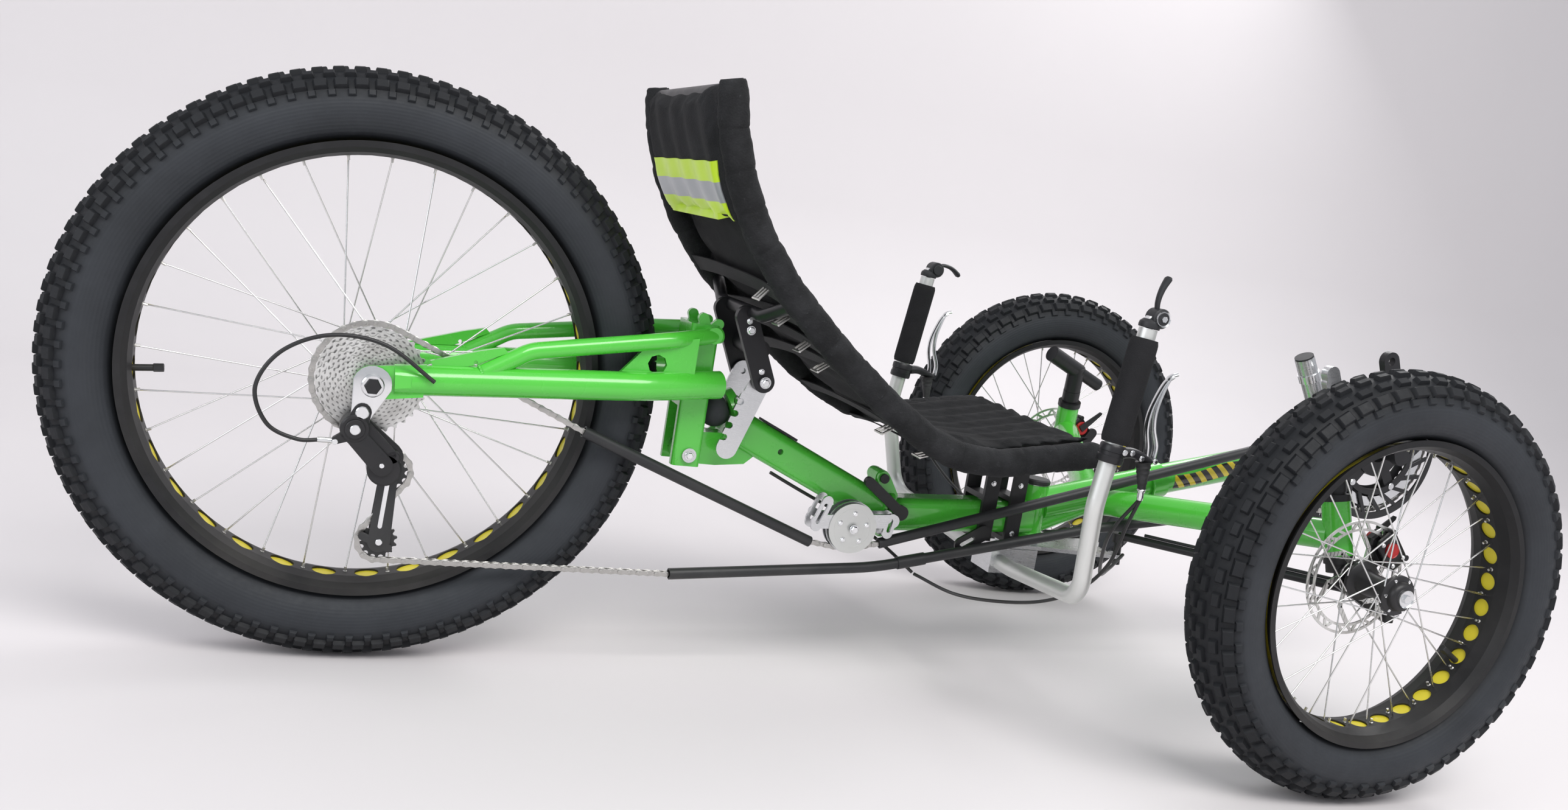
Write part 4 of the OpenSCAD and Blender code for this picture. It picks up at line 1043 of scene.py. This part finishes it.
def makeControls(side):
    tag = "left" if side > 0 else "right"
    last = controls["gripSteps"]
    grip = sweep(tag + "Grip", flipY(along(controls["gripA"], controls["gripB"], last), side),
                 circle(controls["grip"], 24), finishes["foamGrip"],
                 size=lambda i: 0.90 + 0.10 * min(1.0, min(i, last - i) / 1.5) ** 0.5)
    addTo("handlebar", "foam", grip)
    case = makeShifter(tag, side)
    makeLever(tag, side)
    return grip, case


for side in (1, -1):
    grip, case = makeControls(side)
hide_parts("grips")
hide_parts("hand_controls")

# cables at the bar
cable = {"radius": 0.0025, "loop": [(0.278, -0.320, 0.358), (0.278, -0.304, 0.320), (0.287, -0.270, 0.256),
                                    (0.279, -0.226, 0.204), (0.251, -0.180, 0.170), (0.211, -0.125, 0.150),
                                    (0.169, -0.078, 0.144), (0.126, -0.031, 0.156)],
         "brake": [(0.278, 0.318, 0.358), (0.268, 0.284, 0.300), (0.327, 0.200, 0.224), (0.407, 0.110, 0.204),
                   (0.461, 0.066, 0.216)]}
finishes["cable"] = makePlastic("cableHousing", (0.011, 0.011, 0.012), 0.3)
loop = sweep("leverLoop", smoothPath(cable["loop"], 10), circle(cable["radius"], 10), finishes["cable"])
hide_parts("bar_cables")
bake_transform(loop)
for side in (1, -1):
    addTo("handlebar", "rubber", sweep("leftBrakeCable" if side > 0 else "rightBrakeCable",
                                       smoothPath(flipY(cable["brake"], side), 10),
                                       circle(cable["radius"], 10),
                                       finishes["cable"]))

# brakes and front hubs
brakes = {
    "disc": 0.080, "arms": 6, "slots": 30, "off": 0.044, "angle": math.radians(42.0), "reach": 0.062,
    "axle": (0.595, 0, 0.292), "screwCircle": 0.0185, "flangeBolts": 0.023,
    "hub": [(10.3, -40), (20, -40), (21, -39), (21, -36.6), (26, -34.6), (27, -33.6), (27, -28.6),
            (25.6, -27.4),
            (18, -24.4), (16.4, -20), (15.6, 0), (16.0, 20), (17, 23.8), (25.6, 26.4), (27, 27.6), (27, 32.2),
            (25.8, 33.2), (20.4, 34.8), (20, 37), (19, 40), (16.6, 43), (13.6, 44.2), (12.0, 44.0),
            (10.3, 43)],
    "block": [(-0.016, -0.020), (-0.010, -0.026), (0.010, -0.026), (0.017, -0.018), (0.017, 0.018),
              (0.010, 0.026), (-0.010, 0.026), (-0.016, 0.020)],
    "fin": [(-0.012, -0.0012), (0.013, -0.0012), (0.013, 0.0012), (-0.012, 0.0012)],
    "arm": [(-0.006, -0.006), (0.044, -0.003), (0.047, 0.0), (0.044, 0.004), (-0.006, 0.007)],
    "bolts": ((-0.009, -0.018), (0.010, -0.018), (-0.009, 0.019))}


def annulus(r0, r1, y0, y1, n=72):
    verts = [(r * math.cos(2 * math.pi * i / n), y, r * math.sin(2 * math.pi * i / n))
             for i in range(n) for r, y in ((r0, y0), (r1, y0), (r1, y1), (r0, y1))]
    return verts, [(4 * i + j, 4 * i + (j + 1) % 4, 4 * ((i + 1) % n) + (j + 1) % 4, 4 * ((i + 1) % n) + j)
                   for i in range(n) for j in range(4)]


def bar(p, q, w, y0, y1):
    # flat bar between two points of the XZ plane
    p, q = Vector((p[0], 0, p[1])), Vector((q[0], 0, q[1]))
    d = (q - p).normalized()
    side = Vector((-d.z, 0, d.x)) * w / 2
    verts = [v + Vector((0, y, 0)) for y in (y0, y1) for v in (p + side, q + side, q - side, p - side)]
    return verts, [(0, 1, 2, 3), (4, 5, 6, 7), (0, 1, 5, 4), (1, 2, 6, 5), (2, 3, 7, 6), (3, 0, 4, 7)]


def polar(r, a):
    return (r * math.cos(a), r * math.sin(a))


def sixRound(r, i):
    return Vector((r * math.cos(i * 1.047), 0, r * math.sin(i * 1.047)))


def makeDisc(tag, body, side):
    c = Vector(wheels[body]["centre"])
    y = -side * brakes["off"]
    disc = [annulus(0.0765, brakes["disc"], y - 0.001, y + 0.001),
            annulus(0.0655, 0.0690, y - 0.001, y + 0.001)]
    for i in range(brakes["slots"]):
        a = 2 * math.pi * i / brakes["slots"]
        slant = 0.10 if i % 3 else -0.10
        disc.append(bar(polar(0.0685, a), polar(0.0770, a + slant), 0.0038, y - 0.00095, y + 0.00095))
    for i in range(brakes["arms"]):
        a = 2 * math.pi * i / brakes["arms"]
        disc.append(bar(polar(0.0235, a), polar(0.0450, a + 0.22), 0.0068, y - 0.0009, y + 0.0009))
        disc.append(bar(polar(0.0440, a + 0.21), polar(0.0665, a + 0.62), 0.0062, y - 0.0009, y + 0.0009))
    disc.append(annulus(0.0125, 0.0245, y - 0.001, y + 0.001, 36))
    rotor = makePiece(tag + "Rotor", *joined([placed(p, c) for p in disc]), finishes["gears"], smooth=False)
    hub = lathe(tag + "HubShell", [(r / 1000, side * v / 1000) for r, v in brakes["hub"]], c,
                finishes["black_metal"], 64)
    cap = makePiece(tag + "AxleCap", *joined(
        [placed(drum(0.0119, side * 0.038, side * 0.0462, 28, 0.12), c),
         placed(drum(0.0060, side * 0.0462, side * 0.0490, 6, 0.1), c)]
        + [placed(drum(0.0022, side * 0.0335, side * 0.0350, 8), c + sixRound(brakes["flangeBolts"], i))
           for i in range(6)]), finishes["polished"])
    inner = Vector((0, y - side * 0.001, 0))
    screws = repeat(tag + "RotorScrews", hexBolt(0.0021, 0.002, 0.0016),
                    [(c + inner + sixRound(brakes["screwCircle"], i), facing(-side)) for i in range(6)],
                    finishes["polished"])
    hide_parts(tag + "_hub")
    addTo(body, "black_metal", hub)
    addTo(body, "steel", rotor, cap, screws)


def makeCaliper(tag, side):
    # two finned halves over the disc, a red adjuster and the cable arm
    a = brakes["angle"]
    at = Vector(brakes["axle"]) + Vector((math.cos(a), 0, math.sin(a))) * brakes["reach"]
    local = Matrix.Translation(at) @ Matrix.Rotation(-a, 4, "Y")

    def put(part, x, y, z):
        part = placed(part, (x, y, z))
        return [local @ Vector(p) for p in part[0]], part[1]

    parts = [put(plate(brakes["block"], 0.0140, 0.10), 0, side * 0.3764, 0),
             put(plate(brakes["block"], 0.0060, 0.10), 0, side * 0.3952, 0)]
    parts += [put(plate(brakes["fin"], 0.016), 0, side * 0.3760, -0.018 + 0.006 * i) for i in range(4)]
    parts += [put(drum(0.0042, side * 0.3690, side * 0.3985, 12), 0.0145, 0, 0.0225 * s) for s in (-1, 1)]
    black = makePiece(tag + "CaliperBody", *joined(parts), finishes["black_metal"])
    red = makePiece(tag + "CaliperAdjuster", *joined(
        [put(drum(0.0105, side * 0.3983, side * 0.4010, 24, 0.12), -0.001, 0, 0.004),
         put(drum(0.0125, side * 0.3632, side * 0.3694, 24, 0.12), 0.002, 0, 0.008)]), finishes["red"])
    arm = makePiece(tag + "CaliperArm", *put(plate(brakes["arm"], 0.0035), 0.004, side * 0.3612, 0.010),
                    finishes["black_metal"])
    bolts = repeat(tag + "CaliperBolts", hexBolt(0.0026, 0.004, 0.002),
                   [(local @ Vector((x, side * 0.3984, z)), (facing(side)[0], -a, 0.0))
                    for x, z in brakes["bolts"]], finishes["polished"])
    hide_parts(tag + "_caliper")
    addTo(tag + "_knuckle", "red", black, red, arm)
    addTo(tag + "_knuckle", "steel", bolts)


def makeBrake(side):
    tag = "left" if side > 0 else "right"
    makeDisc(tag, tag + "_wheel", side)
    makeCaliper(tag, side)


for side in (1, -1):
    makeBrake(side)

# chainrings
rings = {"centre": (0.927, 0.0, 0.422), "line": -0.050}


def makeRings():
    c = Vector(rings["centre"])
    black = [placed(toothRing(0.0990, 0.0765, 0.002, 0.01245), c + Vector((0, rings["line"], 0))),
             placed(toothRing(0.0790, 0.0640, 0.002), c + Vector((0, -0.043, 0))),
             placed(annulus(0.106, 0.1175, -0.0620, -0.0590, 96), c),
             placed(annulus(0.0660, 0.0760, -0.0620, -0.0590, 72), c),
             placed(annulus(0.020, 0.0440, -0.0615, -0.0420, 48), c)]
    for k in range(5):
        a = 2 * math.pi * k / 5 + 0.3
        black.append(placed(bar(polar(0.040, a), polar(0.076, a), 0.018, -0.0590, -0.0445), c))
    for k in range(20):
        a = 2 * math.pi * k / 20
        black.append(placed(bar(polar(0.0745, a), polar(0.1075, a + 0.28), 0.0062, -0.0617, -0.0592), c))
    silver = [placed(annulus(0.0800, 0.0955, -0.0580, -0.0566, 96), c)]
    dark = makePiece("ringSet", *joined(black), finishes["black_metal"], smooth=False)
    bright = makePiece("ringPlate", *joined(silver), finishes["polished"], smooth=False)
    spots = [(c + Vector((0.071 * math.cos(2 * math.pi * k / 5 + 0.3), -0.0620,
                          0.071 * math.sin(2 * math.pi * k / 5 + 0.3))),
              (math.pi, 0.0, 0.0)) for k in range(5)]
    bolts = repeat("ringBolts", hexBolt(0.0045, 0.012, 0.002), spots, finishes["polished"])
    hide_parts("chainrings")
    addTo("crank", "black_metal", dark)
    addTo("crank", "steel", bright, bolts)


makeRings()

print("controls, brakes and rings made")

# rear derailleur
mech = {"hang": (-0.681, 0.338), "knuckle": (-0.687, 0.318), "lower": (-0.648, 0.270), "top": (-0.639, 0.258),
        "low": (-0.642, 0.170), "y": -0.064}


def flatLink(p, q, r0, r1, y, thick, n=9):
    # plate with round ends between two XZ points
    a = math.atan2(q[1] - p[1], q[0] - p[0])
    pts = [(q[0] + r1 * math.cos(a + t), q[1] + r1 * math.sin(a + t)) for t in
           (math.pi * (i / n - 0.5) for i in range(n + 1))]
    pts += [(p[0] + r0 * math.cos(a + t), p[1] + r0 * math.sin(a + t)) for t in
            (math.pi * (i / n + 0.5) for i in range(n + 1))]
    return placed(plate(pts, thick, 0.06), (0, y, 0))


def at2(p, y, part):
    return placed(part, (p[0], y, p[1]))


def makeMech():
    m = mech
    body = [flatLink(m["hang"], m["knuckle"], 0.011, 0.014, -0.1060, 0.0075),
            at2(m["knuckle"], 0, drum(0.0175, -0.1130, -0.0860, 28, 0.12)),
            at2(m["knuckle"], 0, drum(0.0118, -0.1160, -0.1130, 24, 0.2)),
            flatLink((-0.685, 0.309), (-0.652, 0.276), 0.0120, 0.0130, -0.1105, 0.0040),
            flatLink((-0.679, 0.324), (-0.643, 0.288), 0.0075, 0.0080, -0.1060, 0.0040),
            flatLink((-0.684, 0.314), (-0.646, 0.282), 0.0190, 0.0200, -0.0905, 0.0060),
            at2(m["lower"], 0, drum(0.0205, -0.1080, -0.0760, 28, 0.12)),
            at2((-0.640, 0.286), 0, drum(0.0085, -0.1080, -0.0860, 18, 0.15)),
            flatLink((-0.7070, 0.3020), (-0.690, 0.311), 0.0050, 0.0080, -0.1060, 0.0090)]
    shell = makePiece("mechBody", *joined(body), finishes["black_metal"])
    cage = []
    for y, d in ((-0.0724, 1), (-0.0568, -1)):
        cage += [flatLink(m["top"], m["low"], 0.0105, 0.0135, y, 0.0022)]
        cage.append(flatLink((m["low"][0] - 0.020, m["low"][1] + 0.006),
                             (m["low"][0] + 0.012, m["low"][1] - 0.008),
                             0.0050, 0.0050, y - 0.0001, 0.0018))
    plates = makePiece("mechCage", *joined(cage), finishes["black_plastic"])
    edge = [flatLink((m["top"][0] - 0.001, m["top"][1] - 0.014), (m["low"][0] - 0.001, m["low"][1] + 0.020),
                     0.0026, 0.0026, -0.0737, 0.0006),
            at2(m["top"], 0, drum(0.0042, -0.0760, -0.0520, 14)),
            at2(m["low"], 0, drum(0.0042, -0.0760, -0.0520, 14)),
            at2(m["knuckle"], 0, drum(0.0062, -0.1185, -0.1158, 18, 0.15)),
            at2(m["hang"], 0, drum(0.0080, -0.1130, -0.1096, 20, 0.15)),
            at2(m["lower"], 0, drum(0.0050, -0.1100, -0.1078, 16, 0.15)),
            at2((-0.7080, 0.3010), 0, drum(0.0034, -0.1150, -0.1000, 12)),
            at2((-0.685, 0.309), 0, drum(0.0030, -0.1135, -0.1120, 12)),
            at2((-0.652, 0.276), 0, drum(0.0030, -0.1135, -0.1120, 12)),
            flatLink((-0.673, 0.372), m["hang"], 0.0150, 0.0115, -0.0990, 0.0050),
            flatLink((-0.673, 0.372), m["hang"], 0.0228, 0.0128, -0.1052, 0.0030),
            at2((-0.673, 0.372), 0, drum(0.0135, -0.1170, -0.1060, 24, 0.1))]
    bright = makePiece("mechBolts", *joined(edge), finishes["polished"])
    wheelsPart = [at2(p, m["y"], toothRing(0.0186, 0.0050, 0.0042, 0.0100)) for p in (m["top"], m["low"])]
    pulleys = makePiece("mechPulleys", *joined(wheelsPart), finishes["black_plastic"], smooth=False)
    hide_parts("rear_derailleur")
    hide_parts("derailleur_cage")
    addTo("frame", "black_metal", shell)
    addTo("frame", "black_plastic", plates, pulleys)
    addTo("frame", "steel", bright)


makeMech()
addTo("frame", "black_metal", makePiece("rearAxleBolt",
                                        *at2((-0.673, 0.372), 0, drum(0.0100, -0.1200, -0.1160, 6, 0.12)),
                                        finishes["black_metal"]))
tail = sweep("tailLoop", smoothPath([(-0.603, -0.1146, 0.384), (-0.663, -0.114, 0.422),
                                     (-0.725, -0.113, 0.427),
                                     (-0.777, -0.113, 0.402), (-0.801, -0.113, 0.358),
                                     (-0.785, -0.112, 0.316),
                                     (-0.751, -0.110, 0.300), (-0.722, -0.1075, 0.3010)], 12),
                                     circle(0.0025, 12),
             finishes["cable"])
under = sweep("tubeRun", smoothPath([(0.123, -0.0295, 0.158), (0.079, -0.024, 0.190), (0.027, -0.012, 0.222),
                                     (-0.073, -0.008, 0.266), (-0.117, -0.008, 0.286)], 10),
                                     circle(0.0025, 12),
              finishes["cable"])
ferrules = [sweep("tailFerrule", along((-0.728, -0.108, 0.3012), (-0.712, -0.1065, 0.3010), 6),
                  circle(0.0034, 12),
                  finishes["polished"]),
            sweep("postPlug", along((0.7882, 0, 0.5500), (0.7849, 0, 0.5553), 4), circle(0.0154, 24),
                  finishes["black_plastic"]),
            sweep("postClamp", along((0.8080, 0, 0.5185), (0.8010, 0, 0.5297), 4), circle(0.0183, 28),
                  finishes["polished"])]
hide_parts("frame_cables")
addTo("frame", "rubber", tail, under)
addTo("frame", "steel", *ferrules)

# bolts, pads and the boom's stripes
fixings = {"big": [(0.424, 0.306, 0.0376), (0.508, 0.420, 0.0610), (0.478, 0.488, 0.0551)],
           "small": [(0.502, 0.434, 0.0551), (0.474, 0.500, 0.0551), (0.905, 0.303, 0.0316),
                     (0.952, 0.303, 0.0316),
                     (0.905, 0.228, 0.0316), (0.952, 0.228, 0.0316)]}


def bothSides(rows):
    return [(Vector((x - 0.673, s * y, z)), (0.0 if s > 0 else math.pi, 0.0, 0.0)) for x, z, y in rows
            for s in (1, -1)]


addTo("frame", "steel",
      repeat("frameBoltsBig", hexBolt(0.0052, 0.002, 0.0042), bothSides(fixings["big"]),
             finishes["polished"]),
      repeat("frameBoltsSmall", hexBolt(0.0034, 0.002, 0.0028), bothSides(fixings["small"]),
             finishes["polished"]))
slope = math.atan2(0.113, 0.260)
normal = (math.sin(slope), math.cos(slope))
pad = makePiece("tubePad", *bar((-0.148 + normal[0] * 0.0266, 0.3343 + normal[1] * 0.0266),
                                (-0.098 + normal[0] * 0.0266, 0.3126 + normal[1] * 0.0266), 0.0032, -0.017,
                                0.017),
                finishes["boot"], smooth=False)
addTo("frame", "rubber", pad)


def makeStripePaint():
    # generic diagonal stripes with a wavy edge, on both flanks of the boom
    f = Finish("boomPaint", coat=0.7, coatRough=0.06)
    x, y, z = f.axes()
    d = z - (x - 0.551) * 0.251 - 0.3276
    edge = (0.0115 - (d + 0.003 * ((x - 0.551) * 42.0).sin()).abs()) * 1400.0
    inside = (edge.clamp() * ((x - 0.562) * 900.0).clamp() * ((0.692 - x) * 900.0).clamp()
              * ((y.abs() - 0.010) * 900.0).clamp())
    stripe = (((x + d * 0.9) * 290.0).sin() * 6.0).clamp()
    cloud = f.grain(3.5, 3.0)
    green = roadDust(f, f.blend(cloud, paint["deep"], paint["light"]))
    f.set(colour=f.blend(inside, green, f.blend(stripe, (0.012, 0.012, 0.012), (0.78, 0.60, 0.02))),
          rough=0.22 + 0.12 * f.grain(26.0, 4.0), normal=f.bump(f.grain(240.0, 2.0), paint["peel"], 0.0006))
    return f.material


for i in range(len(nodes["boom"].material_slots)):
    nodes["boom"].material_slots[i].material = makeStripePaint()
print("rear mech, bolts and stripes made")

# idler cover, pivot cap, weld beads
def weldBead(name, centre, axis, r, thick=0.0017, n=72):
    axis = Vector(axis).normalized()
    u = axis.orthogonal().normalized()
    v = axis.cross(u)
    path = [Vector(centre) + (u * math.cos(2 * math.pi * i / n) + v * math.sin(2 * math.pi * i / n)) * r
            for i in range(n)]
    verts, faces = [], []
    for i, p in enumerate(path):
        out = (p - Vector(centre)).normalized()
        k = 1.0 + 0.18 * math.sin(i * 2.2) + 0.12 * noise.noise(p * 300)
        verts += [p + (out * math.cos(a) + axis * math.sin(a)) * thick * k
                  for a in (2 * math.pi * j / 8 for j in range(8))]
    for i in range(n):
        faces += [(8 * i + j, 8 * i + (j + 1) % 8, 8 * ((i + 1) % n) + (j + 1) % 8, 8 * ((i + 1) % n) + j)
                  for j in range(8)]
    return makePiece(name, verts, faces, finishes["frame_green"])


boomWay = Vector((0.376, 0, 0.0944)).normalized()
addTo("frame", "frame_green",
      weldBead("beadCollarRear", Vector((0.5230, 0, 0.3200)), boomWay, 0.0280),
      weldBead("beadPost", (0.325, 0.0, 0.2745), (0, 0, 1), 0.0212),
      weldBead("beadPostLow", (0.325, 0.0, 0.2265), (0, 0, 1), 0.0212),
      weldBead("beadSwingLeft", (-0.5460, 0.0905, 0.3965), (0.9, -0.03, 0.43), 0.0112),
      weldBead("beadSwingRight", (-0.5460, -0.0905, 0.3965), (0.9, 0.03, 0.43), 0.0112))
idlerC = Vector((0.001, 0.0, 0.226))
cover = makePiece("idlerCover", *joined([placed(annulus(0.0056, 0.0365, -0.0607, -0.0592, 64), idlerC),
                                         placed(annulus(0.0270, 0.0290, -0.0611, -0.0606, 64), idlerC)]),
                  finishes["bar"], smooth=False)
spots = [(idlerC + Vector((0.0215 * math.cos(1.2566 * k + 0.3), -0.0607,
                           0.0215 * math.sin(1.2566 * k + 0.3))),
          (math.pi, 0.0, 0.0)) for k in range(5)]
addTo("frame", "steel", cover, repeat("idlerBolts", hexBolt(0.0032, 0.001, 0.0026), spots,
                                      finishes["polished"]),
      repeat("idlerCentre", hexBolt(0.0056, 0.001, 0.0045),
             [(idlerC + Vector((0, -0.0648, 0)), (math.pi, 0, 0))],
             finishes["polished"]))
capTop = placed(drum(0.0214, 0.0, 0.0092, 36, 0.1), (0.325, 0.0, 0.3022), (math.pi / 2, 0, 0))
cap = makePiece("pivotCap", *capTop, finishes["black_plastic"])
addTo("handlebar", "black_plastic", cap)
print("covers and beads made")
# stage
studio = {"floor": (0.74, 0.71, 0.72), "wall": (0.83, 0.82, 0.85), "wallY": 2.6}


def makeStage():
    f = Finish("floorPaint")
    f.set(colour=f.blend(f.grain(1.6, 3.0), studio["floor"], tuple(c * 0.96 for c in studio["floor"])),
          rough=0.6 + 0.1 * f.grain(5.0, 3.0),
          alpha=1.0 - f.add("ShaderNodeNewGeometry", out="Backfacing"))
    rows = []
    for i in range(25):
        t = i / 24
        if t < 0.4:
            rows.append((-6.0 + (studio["wallY"] - 0.8 + 6.0) * t / 0.4, 0.0))
        elif t < 0.6:
            a = (t - 0.4) / 0.2 * math.pi / 2
            rows.append((studio["wallY"] - 0.8 + 0.8 * math.sin(a), 0.8 - 0.8 * math.cos(a)))
        else:
            rows.append((studio["wallY"], 0.8 + 4.5 * (t - 0.6) / 0.4))
    mesh = bpy.data.meshes.new("sweep")
    verts = [(x, y, z) for y, z in rows for x in (-9.0, 11.0)]
    faces = [(2 * i, 2 * i + 1, 2 * i + 3, 2 * i + 2) for i in range(len(rows) - 1)]
    mesh.from_pydata(verts, [], faces)
    mesh.materials.append(f.material)
    for p in mesh.polygons:
        p.use_smooth = True
    obj = bpy.data.objects.new("sweep", mesh)
    bpy.context.scene.collection.objects.link(obj)


def makeLight(name, place, aim, size, power, tint=(1, 1, 1)):
    data = bpy.data.lights.new(name, "AREA")
    data.shape = "RECTANGLE"
    data.size, data.size_y, data.energy, data.color = size[0], size[1], power, tint
    obj = bpy.data.objects.new(name, data)
    obj.location = place
    obj.rotation_euler = (Vector(aim) - Vector(place)).to_track_quat("-Z", "Y").to_euler()
    bpy.context.scene.collection.objects.link(obj)


view = {"place": (-0.77614, -1.70220, 0.65161), "yaw": 21.562, "pitch": -8.323, "roll": 9.322,
        "lens": 29.92}


def makeCamera():
    yaw, pitch, roll = (math.radians(view[k]) for k in ("yaw", "pitch", "roll"))
    ahead = Vector((math.sin(yaw) * math.cos(pitch), math.cos(yaw) * math.cos(pitch), math.sin(pitch)))
    right = Vector((math.cos(yaw), -math.sin(yaw), 0.0))
    up = right.cross(ahead)
    right, up = (right * math.cos(roll) + up * math.sin(roll), up * math.cos(roll) - right * math.sin(roll))
    data = bpy.data.cameras.new("camera")
    data.lens, data.sensor_width = view["lens"], 36.0
    data.shift_x = -0.0026
    data.clip_start, data.clip_end = 0.05, 60.0
    obj = bpy.data.objects.new("camera", data)
    obj.matrix_world = Matrix.Translation(view["place"]) @ Matrix((right, up, -ahead)).transposed().to_4x4()
    bpy.context.scene.collection.objects.link(obj)
    bpy.context.scene.camera = obj


def makeWorld():
    world = bpy.data.worlds.new("studioAir")
    world.use_nodes = True
    world.node_tree.nodes["Background"].inputs[0].default_value = (0.93, 0.95, 1.0, 1.0)
    world.node_tree.nodes["Background"].inputs[1].default_value = 0.62
    bpy.context.scene.world = world


makeStage()
makeLight("keyLight", (0.3, -2.6, 3.4), (0.1, 0.0, 0.3), (3.2, 1.6), 120.0, (1.0, 0.985, 0.96))
makeLight("fillLight", (-3.4, -1.2, 1.8), (0.0, 0.0, 0.4), (2.4, 1.8), 40.0, (0.93, 0.96, 1.0))
makeLight("rimLight", (2.6, 1.9, 2.8), (0.2, 0.0, 0.4), (2.0, 1.4), 50.0)
makeWorld()
makeCamera()
bpy.context.scene.view_settings.view_transform = "Standard"
print("stage, lights and camera made")
